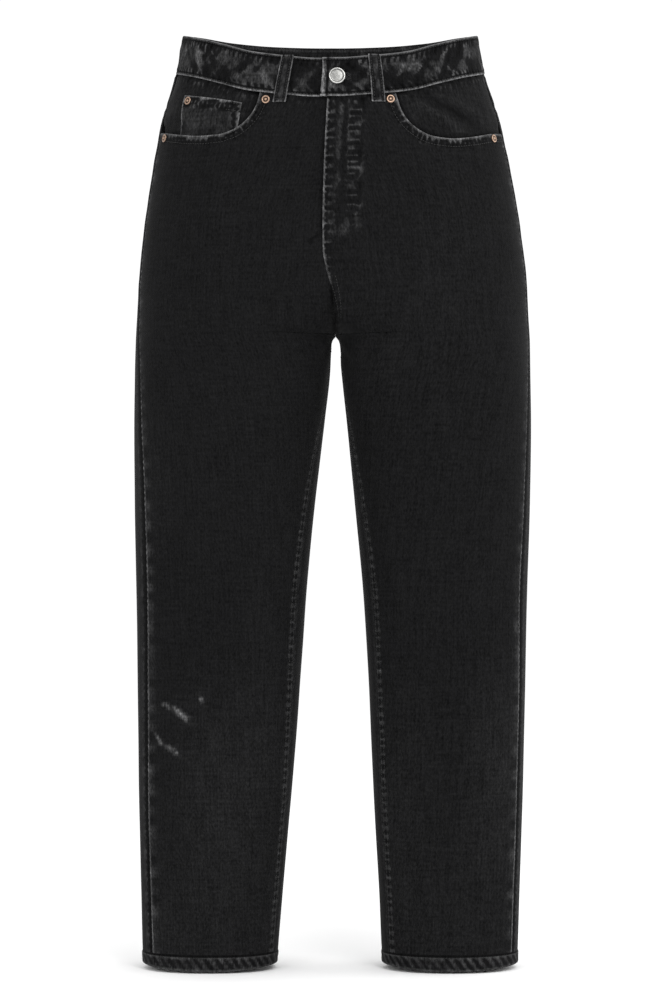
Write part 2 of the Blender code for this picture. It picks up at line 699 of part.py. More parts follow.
def build_front(side, denim):
    panel = Panel(side, back=False)
    mouth = mouth_line(side, panel)
    depth = facing_depth(panel, mouth, FACING_DEPTH[side])
    reach = moved_out(mouth, FACING_UNDERLAP)
    edge = thinned(np.concatenate([mouth, mouth[-1:] - [20 * MM, 0]]), 9 * MM)
    far = thinned(np.concatenate([reach[:1] + [0, 9 * MM], reach[1:], reach[-1:] - [30 * MM, 0]]), 14 * MM)
    lines = [np.concatenate([edge[:1] + [0, 5 * MM], edge[1:]]), far]
    rows = np.linspace(-45 * MM, FLY_BOTTOM_Z - 24 * MM, 14)
    if side == "right":
        lines += [fly_inward(panel, d, rows) for d in (10 * MM, 22 * MM)]
        coin = coin_ring(panel, mouth)
        lines.append(np.concatenate([coin, coin[:1]]))
    else:
        fly = fly_ring(panel)
        lines += [fly_inward(panel, d, rows) for d in (UNDERLAP, FLY_WIDTH + FLY_RAMP)]
        lines.append(np.concatenate([fly, fly[:1]]))
    panel.plan = triangulated(panel_outline(panel), lines, LEG_STEP)
    corner = np.array([[-30 * MM, edge[-1, 1]], [-30 * MM, 400 * MM], [edge[0, 0], 400 * MM]])
    pocket = within(np.concatenate([edge, corner]))
    bag_corner = np.array([[-30 * MM, far[-1, 1]], [-30 * MM, 400 * MM], [far[0, 0], 400 * MM]])
    bag = within(np.concatenate([far, bag_corner]))
    lift = (lambda u, z: fly_lift(panel, u, z)) if side == "left" else constant(0.0)
    panel_piece(
        f"front_{side}", panel, lambda p: ~pocket(p), lambda u, z: lift(u, z) - CLOTH, lift, denim
    )
    panel_piece(
        f"pocket_facing_{side}", panel, bag,
        lambda u, z: -depth(u, z) - 1.3 * MM, lambda u, z: -depth(u, z), denim,
    )
    if side == "right":
        panel_piece(
            "coin_pocket", panel, within(coin),
            lambda u, z: GAP - depth(u, z), lambda u, z: GAP + 1.3 * MM - depth(u, z), denim,
        )
    else:
        panel_piece(
            "fly_facing", panel, within(fly),
            lambda u, z: lift(u, z) - CLOTH - GAP - 1.2 * MM, lambda u, z: lift(u, z) - CLOTH - GAP, denim,
        )
    return panel, mouth, depth


def back_pocket_ring(panel, top_z):
    """A patch pocket with a pointed foot, at its real width on the panel."""
    half_top, half_low = POCKET_TOP_WIDTH / 2, POCKET_LOW_WIDTH / 2
    flat = np.array([
        (half_top, 4 * MM),
        (-half_top, -4 * MM),
        (-half_low, -POCKET_SIDE_HEIGHT),
        (0.0, -POCKET_POINT_HEIGHT),
        (half_low, -POCKET_SIDE_HEIGHT),
        (half_top, 4 * MM),
    ])
    flat = resampled(flat, 20 * MM)[:-1]
    z = top_z + flat[:, 1]
    centre = POCKET_FROM_MIDDLE + half_top
    return panel.plane(1 - (centre + flat[:, 0]) / float(panel.row_length(top_z - 50 * MM)), z)


def build_back(side, denim):
    panel = Panel(side, back=True)
    u = np.linspace(-0.02, 1.02, 15)
    share = np.clip(u * (0.65 + 0.35 * ease(u)), 0, 1)
    z = waist_seam(panel, u) - YOKE_SIDE - (YOKE_MIDDLE - YOKE_SIDE) * share
    seam = panel.plane(np.clip(u, 0, 1), z)
    seam[:, 0] = u * PANEL_WIDTH
    lower = seam - [0, GAP]
    pocket = back_pocket_ring(panel, float(z[7]) - POCKET_BELOW_YOKE)
    lines = [seam, lower, np.concatenate([pocket, pocket[:1]])]
    panel.plan = triangulated(panel_outline(panel), lines, LEG_STEP)
    panel_piece(f"yoke_{side}", panel, above(seam), constant(-CLOTH), constant(0.0), denim)
    under = above(lower)
    panel_piece(f"back_{side}", panel, lambda p: ~under(p), constant(-CLOTH), constant(0.0), denim)
    panel_piece(
        f"back_pocket_{side}", panel, within(pocket), constant(GAP), constant(GAP + POCKET_WALL), denim
    )


def lap_lift(angle):
    """How far the overlapping end stands out over the one that it covers."""
    return LAP_LIFT * (1 - ease((angle * WAIST_RADIUS - LAP_END - 4 * MM) / LAP_RAMP))


def build_waistband(denim):
    """One strip round the waist whose wearer's-left end laps over the other at the front."""
    start = angle_at_x(LAP_START, BUTTON_Z)
    end = 2 * math.pi + angle_at_x(LAP_END, BUTTON_Z)
    angles = np.concatenate([
        np.linspace(start, 0.45, 14),
        np.linspace(0.45, 2 * math.pi - 0.1, 76)[1:-1],
        np.linspace(2 * math.pi - 0.1, end, 8),
    ])
    lap = lap_lift(angles)
    shares = np.linspace(0, 1, 4)
    top = waist_top((angles + math.pi) % (2 * math.pi) - math.pi)
    z = top[None, :] - BAND_HEIGHT * shares[:, None]
    points, normals = waist_place(np.broadcast_to(angles, z.shape), z)
    outer = points + normals * (BAND_OUTSIDE + lap)[None, :, None]
    inner = points + normals * (BAND_INSIDE + lap)[None, :, None]
    band = strip_wall("waistband", (inner, outer), denim)
    cut_buttonhole(band)


def button_frame():
    """Matrix at the button, with z along the surface's outward normal."""
    points, normals = waist_place(angle_at_x(BUTTON_X, BUTTON_Z), BUTTON_Z)
    return facing_matrix(points, normals)


def facing_matrix(point, normal):
    out = Vector(normal)
    across = Vector((0, 0, 1)).cross(out).normalized()
    up = out.cross(across)
    turn = Matrix((across, up, out)).transposed().to_4x4()
    return Matrix.Translation(Vector(point)) @ turn


def cut_buttonhole(band):
    """A slot with round ends through the overlapping end of the waistband, for the button's shank."""
    cutter_mesh = bpy.data.meshes.new("buttonhole_cutter")
    shape = bmesh.new()
    half, radius = BUTTONHOLE_LENGTH / 2 - BUTTONHOLE_WIDTH / 2, BUTTONHOLE_WIDTH / 2
    shift = half - 2.2 * MM
    ring = []
    for start, centre in ((-90, half), (90, -half)):
        for k in range(7):
            angle = math.radians(start + 30 * k)
            ring.append((shift + centre + radius * math.cos(angle), radius * math.sin(angle)))
    low = BAND_OUTSIDE + 0.2 * MM
    high = BAND_OUTSIDE + LAP_LIFT + 3 * MM
    face = shape.faces.new([shape.verts.new((x, y, low)) for x, y in ring])
    swept = bmesh.ops.extrude_face_region(shape, geom=[face])
    moved = [v for v in swept["geom"] if isinstance(v, bmesh.types.BMVert)]
    bmesh.ops.translate(shape, verts=moved, vec=(0, 0, high - low))
    bmesh.ops.recalc_face_normals(shape, faces=shape.faces)
    shape.to_mesh(cutter_mesh)
    shape.free()
    cutter = bpy.data.objects.new("buttonhole_cutter", cutter_mesh)
    bpy.context.scene.collection.objects.link(cutter)
    cutter.matrix_world = button_frame()
    cutter.hide_render = True
    cutter.display_type = "WIRE"
    cut = band.modifiers.new("buttonhole", "BOOLEAN")
    cut.operation = "DIFFERENCE"
    cut.solver = "EXACT"
    cut.object = cutter


def turned(name, profile, frame, sides, finish):
    """A solid turned about its own z axis from a profile of (radius, height), and set at frame."""
    points, faces = [], []
    rings = []
    for radius, height in profile:
        if radius == 0:
            rings.append([len(points)])
            points.append((0, 0, height))
            continue
        rings.append(list(range(len(points), len(points) + sides)))
        for k in range(sides):
            angle = 2 * math.pi * k / sides
            points.append((radius * math.cos(angle), radius * math.sin(angle), height))
    for low, high in zip(rings, rings[1:]):
        for k in range(sides):
            n = (k + 1) % sides
            if len(low) == 1:
                faces.append((low[0], high[n], high[k]))
            elif len(high) == 1:
                faces.append((low[k], low[n], high[0]))
            else:
                faces.append((low[k], low[n], high[n], high[k]))
    obj = add_object(name, points, faces, finish)
    obj.matrix_world = frame
    return obj


def build_button(steel):
    """A jeans button: a dished head on a shank that stands in the buttonhole on the covered band end."""
    foot = BAND_OUTSIDE + GAP
    head = BAND_OUTSIDE + LAP_LIFT + BUTTON_STAND
    r = BUTTON_RADIUS
    profile = (
        (0, foot),
        (SHANK_RADIUS, foot),
        (SHANK_RADIUS, head),
        (r * 0.86, head),
        (r, head + 0.7 * MM),
        (r * 0.97, head + 1.5 * MM),
        (r * 0.86, head + 1.9 * MM),
        (r * 0.76, head + 1.45 * MM),
        (r * 0.4, head + 1.6 * MM),
        (0, head + 1.65 * MM),
    )
    turned("button", profile, button_frame(), 24, steel)


def build_rivets(fronts, copper):
    """Copper caps with a ring, a dish and a raised middle, each on what it holds."""
    r = RIVET_RADIUS
    profile = (
        (0, 0),
        (r, 0),
        (r, 0.5 * MM),
        (r * 0.8, 1.1 * MM),
        (r * 0.5, 0.7 * MM),
        (r * 0.25, 1.3 * MM),
        (0, 1.5 * MM),
    )
    for rivet in RIVETS:
        panel, _, depth = fronts[rivet.side]
        z, x = np.array([rivet.z]), np.array([rivet.x])
        phi = phi_at_x(rivet.side, x, z)
        lift = 0.55 * MM
        if rivet.name == "rivet_coin_pocket":
            lift += GAP + 1.3 * MM - float(depth(panel.share_at(phi, z), z)[0])
        normal = surface_normal(rivet.side, phi, z)[0]
        point = surface(rivet.side, phi, z)[0] + normal * lift
        turned(rivet.name, profile, facing_matrix(point, normal), 12, copper)


def build_loop(loop, denim):
    """A belt loop: a doubled strip tacked down at both ends and standing off the band between them."""
    end = BAND_HEIGHT + LOOP_BELOW_BAND
    drops = np.concatenate([np.linspace(0, BAND_HEIGHT + 0.6 * MM, 8), [end - 3.6 * MM, end]])
    shares = drops / end
    top, foot = math.radians(loop.top), math.radians(loop.foot)
    across = np.array([-0.5, 0.0, 0.5]) * LOOP_WIDTH / WAIST_RADIUS
    angle = (top + (foot - top) * shares)[:, None] + across
    z = np.broadcast_to((float(waist_top(top)) - drops)[:, None], angle.shape)
    on_band = BAND_OUTSIDE + 1.5 * GAP + np.where(angle > 0, lap_lift(angle), 0.0)
    settle = ease((end - 0.5 * MM - drops) / (LOOP_BELOW_BAND - 1.1 * MM))[:, None]
    bulge = LOOP_BULGE * np.sin(np.pi * np.clip((shares - 0.04) / 0.86, 0, 1)) ** 1.5
    stand = 2 * GAP + (on_band - 2 * GAP) * settle + bulge[:, None]
    points, normals = waist_place(angle, z)
    inner = points + normals * stand[..., None]
    strip_wall(loop.name, (inner, inner + normals * LOOP_WALL), denim)


def build_hem(side, denim):
    """The turned-up end of a leg: a thicker ring whose foot dips a little at the front and back."""
    phi = np.linspace(0, 2 * math.pi, 41)[:-1]
    shares = np.array([0.0, 0.5, 1.0])
    foot = HEM_Z - HEM_DIP * np.sin(phi) ** 2
    z = foot[None, :] + (HEM_Z + HEM_HEIGHT - foot)[None, :] * shares[:, None]
    grid = np.broadcast_to(phi, z.shape)
    points, normals = surface(side, grid, z), surface_normal(side, grid, z)
    inner, outer = points + normals * HEM_INSIDE, points + normals * HEM_OUTSIDE
    strip_wall(f"hem_{side}", (inner, outer), denim, closed=True)


def main():
    for obj in list(bpy.data.objects):
        bpy.data.objects.remove(obj)
    denim = material("washed_black_denim", (0.022, 0.022, 0.023), 0.9)
    copper = material("copper", (0.62, 0.32, 0.18), 0.35, 1.0)
    steel = material("steel", (0.72, 0.72, 0.69), 0.3, 1.0)
    fronts = {side: build_front(side, denim) for side in SIGN}
    for side in SIGN:
        build_back(side, denim)
        build_hem(side, denim)
    build_waistband(denim)
    for loop in LOOPS:
        build_loop(loop, denim)
    build_button(steel)
    build_rivets(fronts, copper)


main()
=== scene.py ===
import math
from collections import namedtuple

import bpy
import numpy as np
from mathutils import Matrix, Vector
from mathutils.bvhtree import BVHTree
from mathutils.geometry import delaunay_2d_cdt


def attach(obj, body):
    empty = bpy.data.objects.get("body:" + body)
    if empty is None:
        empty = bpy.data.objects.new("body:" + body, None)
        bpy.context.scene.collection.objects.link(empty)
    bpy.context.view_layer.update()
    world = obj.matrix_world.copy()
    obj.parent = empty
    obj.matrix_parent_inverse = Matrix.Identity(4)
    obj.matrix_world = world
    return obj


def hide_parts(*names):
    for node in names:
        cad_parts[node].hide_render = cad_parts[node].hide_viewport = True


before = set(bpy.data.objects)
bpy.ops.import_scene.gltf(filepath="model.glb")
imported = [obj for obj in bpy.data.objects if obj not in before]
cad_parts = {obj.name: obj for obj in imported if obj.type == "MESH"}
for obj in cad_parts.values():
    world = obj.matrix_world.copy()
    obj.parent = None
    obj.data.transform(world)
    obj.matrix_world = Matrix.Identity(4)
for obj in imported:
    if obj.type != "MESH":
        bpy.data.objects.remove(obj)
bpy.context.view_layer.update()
mm = 0.001

# The worn body that every cloth piece follows: sections from the waist down, in mm and degrees
Section = namedtuple(
    "Section",
    "z xRightOuter xRightInner xLeftInner xLeftOuter front back outseamRight outseamLeft inseamRight inseamLeft",
)
sections = (
    Section(40, -150.6, 0.0, 0.0, 151.2, 85, 83, 9, 9, 0, 0),
    Section(-10, -160.0, 0.0, 0.0, 160.6, 91, 91, 9, 9, 0, 0),
    Section(-57, -174.3, 0.0, 0.0, 176.5, 98, 104, 10, 11, 0, 0),
    Section(-100, -183.0, 0.0, 0.0, 186.2, 103, 116, 12, 11, 0, 0),
    Section(-160, -192.6, 0.0, 0.0, 196.8, 106, 123, 11, 9, 0, 0),
    Section(-216, -198.3, 0.8, 0.8, 203.8, 105, 119, 11, 9, 0, 0),
    Section(-280, -202.0, 5.7, 5.7, 207.3, 100, 105, 19, 15, 0, 0),
    Section(-285, -202.2, 2.4, 9.3, 207.5, 99.6, 103.9, 20, 15, 1, 1),
    Section(-319, -203.1, 0.5, 12.2, 207.9, 96, 94, 24, 17, 9, 9),
    Section(-371, -203.4, -5.2, 17.1, 208.4, 91, 84, 27, 21, 20, 18),
    Section(-450, -202.6, -14.7, 25.1, 207.4, 84, 72, 31, 25, 25, 23),
    Section(-555, -200.6, -24.7, 34.8, 204.4, 74, 59, 33, 28, 29, 29),
    Section(-660, -199.8, -31.8, 40.8, 202.6, 65, 57, 33, 26, 26, 28),
    Section(-765, -198.4, -40.6, 45.4, 200.1, 57, 58, 32, 26, 22, 28),
    Section(-870, -195.9, -49.9, 51.2, 196.8, 51, 55, 34, 27, 22, 28),
    Section(-950, -194.1, -56.8, 55.2, 193.9, 48, 53, 35, 27, 21, 28),
)
frontMiddle = (  # (z, x) of the fly's edge and the seam under it, in mm
    (40, 0), (-43, -2.6), (-98, -5.4), (-168, -7.2), (-197, -7.0), (-214, -4.3), (-236, 1.0), (-258, 4.2), (-280, 5.7),
)
body = {
    "squareness": 0.03,  # how far the sections stand out of an ellipse
    "thighSquareness": 0.09,  # added on the inner thighs near the crotch
    "crotchZ": -280 * mm,
    "frontGroove": 85 * mm,
    "backGroove": 170 * mm,
    "seamGap": 0.3 * mm,
    "seamOverlap": 0.15 * mm,  # sewn edges meet with no light between them
    "panelWidth": 200 * mm,
    "crotchStep": 60 * mm,
}
sign = {"right": -1.0, "left": 1.0}


def ease(t):
    t = np.clip(t, 0, 1)
    return t * t * (3 - 2 * t)


def bump(distance, width):
    return np.exp(-((distance / width) ** 2))


def plateau(distance, near, far, soft):
    return ease((distance - near) / soft + 0.5) * ease((far - distance) / soft + 0.5)


def noise(points, size, seed=0.0):
    # smooth value noise from -1 to 1
    q = np.asarray(points, float) / size
    cell = np.floor(q)
    w = (q - cell) ** 2 * (3 - 2 * (q - cell))
    total = 0
    for corner in np.ndindex(2, 2, 2):
        at = cell + corner
        mixed = np.sin(at @ np.array([127.1, 311.7, 74.7]) + seed * 19.19) * 43758.5453
        weight = np.prod(np.where(np.array(corner) == 1, w, 1 - w), axis=-1)
        total = total + weight * (mixed - np.floor(mixed))
    return total * 2 - 1


def smooth(z, tableZ, values):
    # monotone cubic interpolation
    step = np.diff(tableZ)
    slope = np.diff(values) / step
    product = slope[:-1] * slope[1:]
    total = slope[:-1] + slope[1:]
    inner = np.where(product > 0, 2 * product / np.where(total == 0, 1, total), 0)
    tangent = np.concatenate([slope[:1], inner, slope[-1:]])
    i = np.clip(np.searchsorted(tableZ, z) - 1, 0, len(step) - 1)
    t = np.clip((z - tableZ[i]) / step[i], 0, 1)
    h = step[i]
    return (
        values[i] * (2 * t**3 - 3 * t**2 + 1)
        + values[i + 1] * (3 * t**2 - 2 * t**3)
        + h * tangent[i] * (t**3 - 2 * t**2 + t)
        + h * tangent[i + 1] * (t**3 - t**2)
    )


sectionZ = np.array([s.z for s in reversed(sections)], float) * mm
columns = {name: np.array([getattr(s, name) for s in reversed(sections)], float) for name in Section._fields}
middleZ, middleX = (np.array([row[k] for row in reversed(frontMiddle)], float) for k in range(2))


def sectionValue(name, z):
    return smooth(z, sectionZ, columns[name])


def middle(z, back):
    z = np.maximum(z, body["crotchZ"])
    return np.where(back, sectionValue("xRightInner", z), smooth(z, middleZ * mm, middleX)) * mm


def halfSection(side, z, back):
    mid = middle(z, back)
    name = side.capitalize()
    outer = np.abs(sectionValue(f"x{name}Outer", z) * mm - mid)
    inner = np.abs(sectionValue(f"x{name}Inner", z) * mm - mid)
    reach = np.where(back, body["backGroove"], body["frontGroove"])
    pinch = (1 - np.clip((z - body["crotchZ"]) / reach, 0, 1)) ** 2
    torso = z > body["crotchZ"]
    centre = np.where(torso, pinch / (1 + pinch) * outer, (outer + inner) / 2)
    halfWidth = np.where(torso, outer - centre, (outer - inner) / 2)
    front, rear = sectionValue("front", z) * mm, sectionValue("back", z) * mm
    return centre, halfWidth, mid, (rear - front) / 2, (front + rear) / 2


def swell(phi, z):
    above, below = 1 - (z - body["crotchZ"]) / (90 * mm), 1 - (body["crotchZ"] - z) / (190 * mm)
    near = ease(np.where(z > body["crotchZ"], above, below))
    inner = np.where(np.cos(phi) > 0, body["thighSquareness"] * near, 0.0)
    return 1 + (body["squareness"] + inner) * np.sin(2 * phi) ** 2


def surface(side, phi, z):
    # phi is 0 at the inner leg, 90 degrees at the front and 180 at the side
    phi, z = np.broadcast_arrays(np.asarray(phi, float), np.asarray(z, float))
    centre, halfWidth, mid, yCentre, halfDepth = halfSection(side, z, np.sin(phi) < 0)
    out = swell(phi, z)
    x = mid + sign[side] * (body["seamGap"] / 2 + centre - halfWidth * np.cos(phi) * out)
    return np.stack([x, yCentre - halfDepth * np.sin(phi) * out, z], axis=-1)


def surfaceNormal(side, phi, z):
    along = surface(side, phi + 1e-4, z) - surface(side, phi - 1e-4, z)
    up = surface(side, phi, z + 0.05 * mm) - surface(side, phi, z - 0.05 * mm)
    out = np.cross(along, up) * sign[side]
    return out / np.linalg.norm(out, axis=-1, keepdims=True)


def phiAtX(side, x, z, back=False):
    centre, halfWidth, mid, _, _ = halfSection(side, z, np.full(np.shape(z), back))
    wanted = (centre + body["seamGap"] / 2 - sign[side] * (x - mid)) / halfWidth
    phi = np.arccos(np.clip(wanted, -1, 1))
    for _ in range(20):
        phi = np.arccos(np.clip(wanted / swell(phi, z), -1, 1))
    return 2 * math.pi - phi if back else phi


fly = {"bottomZ": -190 * mm, "width": 38 * mm, "lift": 2.1 * mm, "ramp": 9 * mm, "underlap": 12 * mm}


def panelEnds(side, back, z):
    name = side.capitalize()
    outseam = math.pi - np.radians(sectionValue(f"outseam{name}", z))
    inseam = np.radians(sectionValue(f"inseam{name}", z))
    edge = middle(z, back) - sign[side] * body["seamOverlap"]
    if side == "right" and not back:
        edge = edge + ease((z - fly["bottomZ"] - 3 * mm) / (7 * mm)) * fly["underlap"]
    legEnd = 2 * math.pi + inseam if back else inseam
    return outseam, np.where(z > body["crotchZ"], phiAtX(side, edge, z, back), legEnd)


class Panel:
    # u runs from the outseam (0) to the inner edge (1) by arc length,
    # v is the height with rows bunched at the crotch
    columns = 129

    def __init__(self, side, back):
        self.side, self.back = side, back
        above = body["crotchZ"] + (45 * mm - body["crotchZ"]) * np.linspace(0, 1, 170)[1:] ** 2
        self.z = np.concatenate([np.linspace(-960 * mm, body["crotchZ"], 170), above])
        start, end = panelEnds(side, back, self.z)
        share = np.linspace(0, 1, self.columns)
        phi = start[:, None] + (end - start)[:, None] * share
        steps = np.linalg.norm(np.diff(surface(side, phi, self.z[:, None]), axis=1), axis=2)
        arc = np.concatenate([np.zeros((len(self.z), 1)), np.cumsum(steps, axis=1)], axis=1)
        self.length = arc[:, -1]
        self.phi = np.array([np.interp(share, a / a[-1], p) for a, p in zip(arc, phi)])

    def rowLength(self, z):
        return np.interp(z, self.z, self.length)

    def angle(self, u, z):
        u, z = np.broadcast_arrays(np.asarray(u, float), np.asarray(z, float))
        row = np.clip(np.searchsorted(self.z, z) - 1, 0, len(self.z) - 2)
        t = np.clip((z - self.z[row]) / (self.z[row + 1] - self.z[row]), 0, 1)
        place = np.clip(u, 0, 1) * (self.columns - 1)
        col = np.minimum(place.astype(int), self.columns - 2)
        s = place - col
        low = self.phi[row, col] * (1 - s) + self.phi[row, col + 1] * s
        high = self.phi[row + 1, col] * (1 - s) + self.phi[row + 1, col + 1] * s
        return low * (1 - t) + high * t

    def height(self, u, v):
        near = np.where(v < body["crotchStep"], v * v / (2 * body["crotchStep"]), v - body["crotchStep"] / 2)
        even = v * (320 * mm - body["crotchStep"] / 2) / (320 * mm)
        return body["crotchZ"] + np.where(v <= 0, v, (1 - ease(u)) * even + ease(u) * near)

    def level(self, u, z):
        u, z = np.broadcast_arrays(np.asarray(u, float), np.asarray(z, float))
        low, high = np.full(z.shape, -0.7), np.full(z.shape, 0.5)
        for _ in range(40):
            half = (low + high) / 2
            below = self.height(u, half) < z
            low, high = np.where(below, half, low), np.where(below, high, half)
        return (low + high) / 2

    def shareAt(self, phi, z):
        phi, z = np.broadcast_arrays(np.asarray(phi, float), np.asarray(z, float))
        low, high = np.zeros(z.shape), np.ones(z.shape)
        rising = bool(self.back)
        for _ in range(26):
            half = (low + high) / 2
            before = (self.angle(half, z) < phi) == rising
            low, high = np.where(before, half, low), np.where(before, high, half)
        return (low + high) / 2

    def shareAtX(self, x, z):
        x, z = np.broadcast_arrays(np.asarray(x, float), np.asarray(z, float))
        return self.shareAt(phiAtX(self.side, x, z, self.back), z)

    def place(self, plane):
        u = plane[:, 0] / body["panelWidth"]
        z = self.height(u, plane[:, 1])
        phi = self.angle(u, z)
        return surface(self.side, phi, z), surfaceNormal(self.side, phi, z), u, z

    def plane(self, u, z):
        u, z = np.broadcast_arrays(np.asarray(u, float), np.asarray(z, float))
        return np.stack([u * body["panelWidth"], self.level(u, z)], axis=-1)

    def inset(self, z):
        return -body["seamOverlap"] / self.rowLength(z)


waistTopEdge = (  # (degrees from the front middle, height in mm) of the waistband's top edge
    (0, -2.0), (4, -2.0), (14, 0.2), (20, 2.3), (30, 6.5), (41, 14.3), (56, 22.8), (75, 29.3), (90, 32.5),
    (120, 36.0), (140, 33.5), (158, 31.6), (176, 31.0), (180, 31.0),
)
topAngle, topHeight = (np.array([row[k] for row in waistTopEdge], float) for k in range(2))
band = {
    "height": 40 * mm,
    "radius": 157 * mm,
    "inside": -1.6 * mm,
    "outside": 0.8 * mm,
    "lapStart": -8.4 * mm,
    "lapEnd": 34 * mm,
    "lapLift": 2.8 * mm,
    "lapRamp": 26 * mm,
}


def waistTop(angle):
    return smooth(np.degrees(np.abs(angle)), topAngle, topHeight) * mm


def waistSeam(panel, u):
    z = np.full(np.shape(u), -20 * mm)
    for _ in range(8):
        z = waistTop(panel.angle(u, z) - math.pi / 2) - band["height"]
    return z


def waistPlace(angle, z):
    angle, z = np.broadcast_arrays(np.asarray(angle, float), np.asarray(z, float))
    turned = (angle + math.pi) % (2 * math.pi) - math.pi
    phi = math.pi / 2 + np.abs(turned)
    left = (turned >= 0)[..., None]
    points = np.where(left, surface("left", phi, z), surface("right", phi, z))
    points[..., 0] -= np.where(left[..., 0], body["seamGap"] / 2, -body["seamGap"] / 2)
    return points, np.where(left, surfaceNormal("left", phi, z), surfaceNormal("right", phi, z))


def angleAtX(x, z):
    side = "left" if x >= float(middle(z, False)) else "right"
    phi = phiAtX(side, np.array([x + sign[side] * body["seamGap"] / 2]), np.array([z]))
    return sign[side] * (float(phi[0]) - math.pi / 2)


def lapLift(angle):
    return band["lapLift"] * (1 - ease((angle * band["radius"] - band["lapEnd"] - 4 * mm) / band["lapRamp"]))


# Lines and regions in a panel's plane
def resampled(line, step):
    made = []
    for a, b in zip(line[:-1], line[1:]):
        n = max(1, math.ceil(float(np.linalg.norm(b - a)) / step))
        made += [a + (b - a) * k / n for k in range(n)]
    return np.array(made + [line[-1]])


def thinned(line, step):
    along = np.concatenate([[0], np.cumsum(np.linalg.norm(np.diff(line, axis=0), axis=1))])
    at = np.linspace(0, along[-1], max(2, round(along[-1] / step) + 1))
    return np.stack([np.interp(at, along, line[:, k]) for k in range(line.shape[1])], axis=1)


def movedOut(line, amount):
    direction = np.gradient(line, axis=0)
    direction /= np.linalg.norm(direction, axis=1, keepdims=True)
    return line + np.stack([-direction[:, 1], direction[:, 0]], axis=1) * amount


def inside(points, ring):
    x, y = points[:, 0], points[:, 1]
    found = np.zeros(len(points), bool)
    for (x0, y0), (x1, y1) in zip(ring, np.roll(ring, -1, axis=0)):
        if y0 != y1:
            found ^= ((y0 > y) != (y1 > y)) & (x < (x1 - x0) * (y - y0) / (y1 - y0) + x0)
    return found


def nearest(points, line):
    # (distance, length along) of each point's nearest place on a line, in the plane or in space
    best = np.full(len(points), np.inf)
    where = np.zeros(len(points))
    passed = 0.0
    for a, b in zip(line[:-1], line[1:]):
        d = b - a
        size = float(np.linalg.norm(d))
        t = np.clip(((points - a) @ d) / max(size * size, 1e-18), 0, 1)
        distance = np.linalg.norm(points - a - t[:, None] * d, axis=1)
        closer = distance < best
        best[closer] = distance[closer]
        where[closer] = (passed + t * size)[closer]
        passed += size
    return best, where


def ringOf(*lines):
    points = np.concatenate(lines)
    keep = np.linalg.norm(points - np.roll(points, 1, axis=0), axis=1) > 0.05 * mm
    return points[keep]


def closedLine(ring):
    return np.concatenate([ring, ring[:1]])


def triangulated(ring, lines, step):
    chains = [closedLine(ring)] + list(lines)
    low, high = ring.min(axis=0), ring.max(axis=0)
    counts = [max(1, round((high[k] - low[k]) / step[k])) for k in range(2)]
    axes = [np.linspace(low[k], high[k], counts[k] + 1) for k in range(2)]
    across, up = np.meshgrid(*axes)
    across[::2] += step[0] / 2  # every other row is shifted, so that triangles are even
    grid = np.stack([across, up], axis=-1).reshape(-1, 2)
    grid = grid[inside(grid, ring)]
    scale = np.array([1.0, step[0] / step[1]])
    for chain in chains:
        grid = grid[nearest(grid * scale, chain * scale)[0] > 0.5 * step[0]]
    points, edges = [], []
    for chain in chains:
        edges += [(len(points) + k, len(points) + k + 1) for k in range(len(chain) - 1)]
        points += list(chain)
    points += list(grid)
    found = delaunay_2d_cdt([Vector(p / mm) for p in points], edges, [], 1, 1e-3)
    plane = np.array([tuple(p) for p in found[0]]) * mm
    triangles = np.array([tuple(t) for t in found[2]])
    return plane, triangles[inside(plane[triangles].mean(axis=1), ring)]


# Turning points into pieces
def addPiece(name, points, faces, finish, fade=None, cloth=None, sharp=50):
    mesh = bpy.data.meshes.new(name)
    mesh.from_pydata([tuple(p) for p in points], [], [tuple(f) for f in faces])
    mesh.materials.append(finish)
    mesh.shade_smooth()
    mesh.set_sharp_from_angle(angle=math.radians(sharp))
    # the point attribute holds worn fading above zero and painted shade below zero; metal pieces use it for how rubbed
    # they are
    if fade is not None:
        mesh.attributes.new("fade", "FLOAT", "POINT").data.foreach_set("value", np.asarray(fade, np.float32))
    if cloth is not None:
        mesh.attributes.new("cloth", "FLOAT_VECTOR", "POINT").data.foreach_set(
            "vector", np.asarray(cloth, np.float32).ravel()
        )
    obj = bpy.data.objects.new(name, mesh)
    bpy.context.scene.collection.objects.link(obj)
    return obj


def clothWall(name, inner, outer, triangles, finish, fade, cloth):
    triangles = np.asarray(triangles)
    a, b, c = (outer[triangles[:, k]] for k in range(3))
    if (np.cross(b - a, c - a) * (outer - inner)[triangles[:, 0]]).sum() < 0:
        triangles = triangles[:, ::-1]
    n = len(outer)
    pairs = np.concatenate([triangles[:, [0, 1]], triangles[:, [1, 2]], triangles[:, [2, 0]]])
    known = set(map(tuple, pairs.tolist()))
    rim = [(a, b) for a, b in known if (b, a) not in known]
    faces = triangles.tolist() + (triangles[:, ::-1] + n).tolist()
    faces += [(b, a, n + a, n + b) for a, b in sorted(rim)]
    return addPiece(
        name, np.concatenate([outer, inner]), faces, finish,
        np.concatenate([fade, fade * 0.3]), np.concatenate([cloth, cloth])
    )


def panelPiece(name, panel, part, low, high, finish, relief):
    # relief gives (height, fading and painted shade) over the piece
    plane, triangles = panel.plan
    triangles = triangles[part(plane[triangles].mean(axis=1))]
    used = np.unique(triangles)
    renumber = np.zeros(len(plane), int)
    renumber[used] = np.arange(len(used))
    points, normals, u, z = panel.place(plane[used])
    raised, fade = relief(points, u, z)
    points[:, 1] += crotchGroove(points)
    outer = points + normals * (high(u, z) + raised)[:, None]
    inner = points + normals * (low(u, z) + raised * 0.8)[:, None]
    cloth = np.stack([u * panel.rowLength(z), z, np.full(len(u), hashOf(name))], axis=1)
    return clothWall(name, inner, outer, renumber[triangles], finish, fade, cloth)


def hashOf(name):
    return (sum((k + 3) * ord(c) for k, c in enumerate(name)) % 97) * 0.37


def constant(value):
    return lambda u, z: np.full(len(u), value)


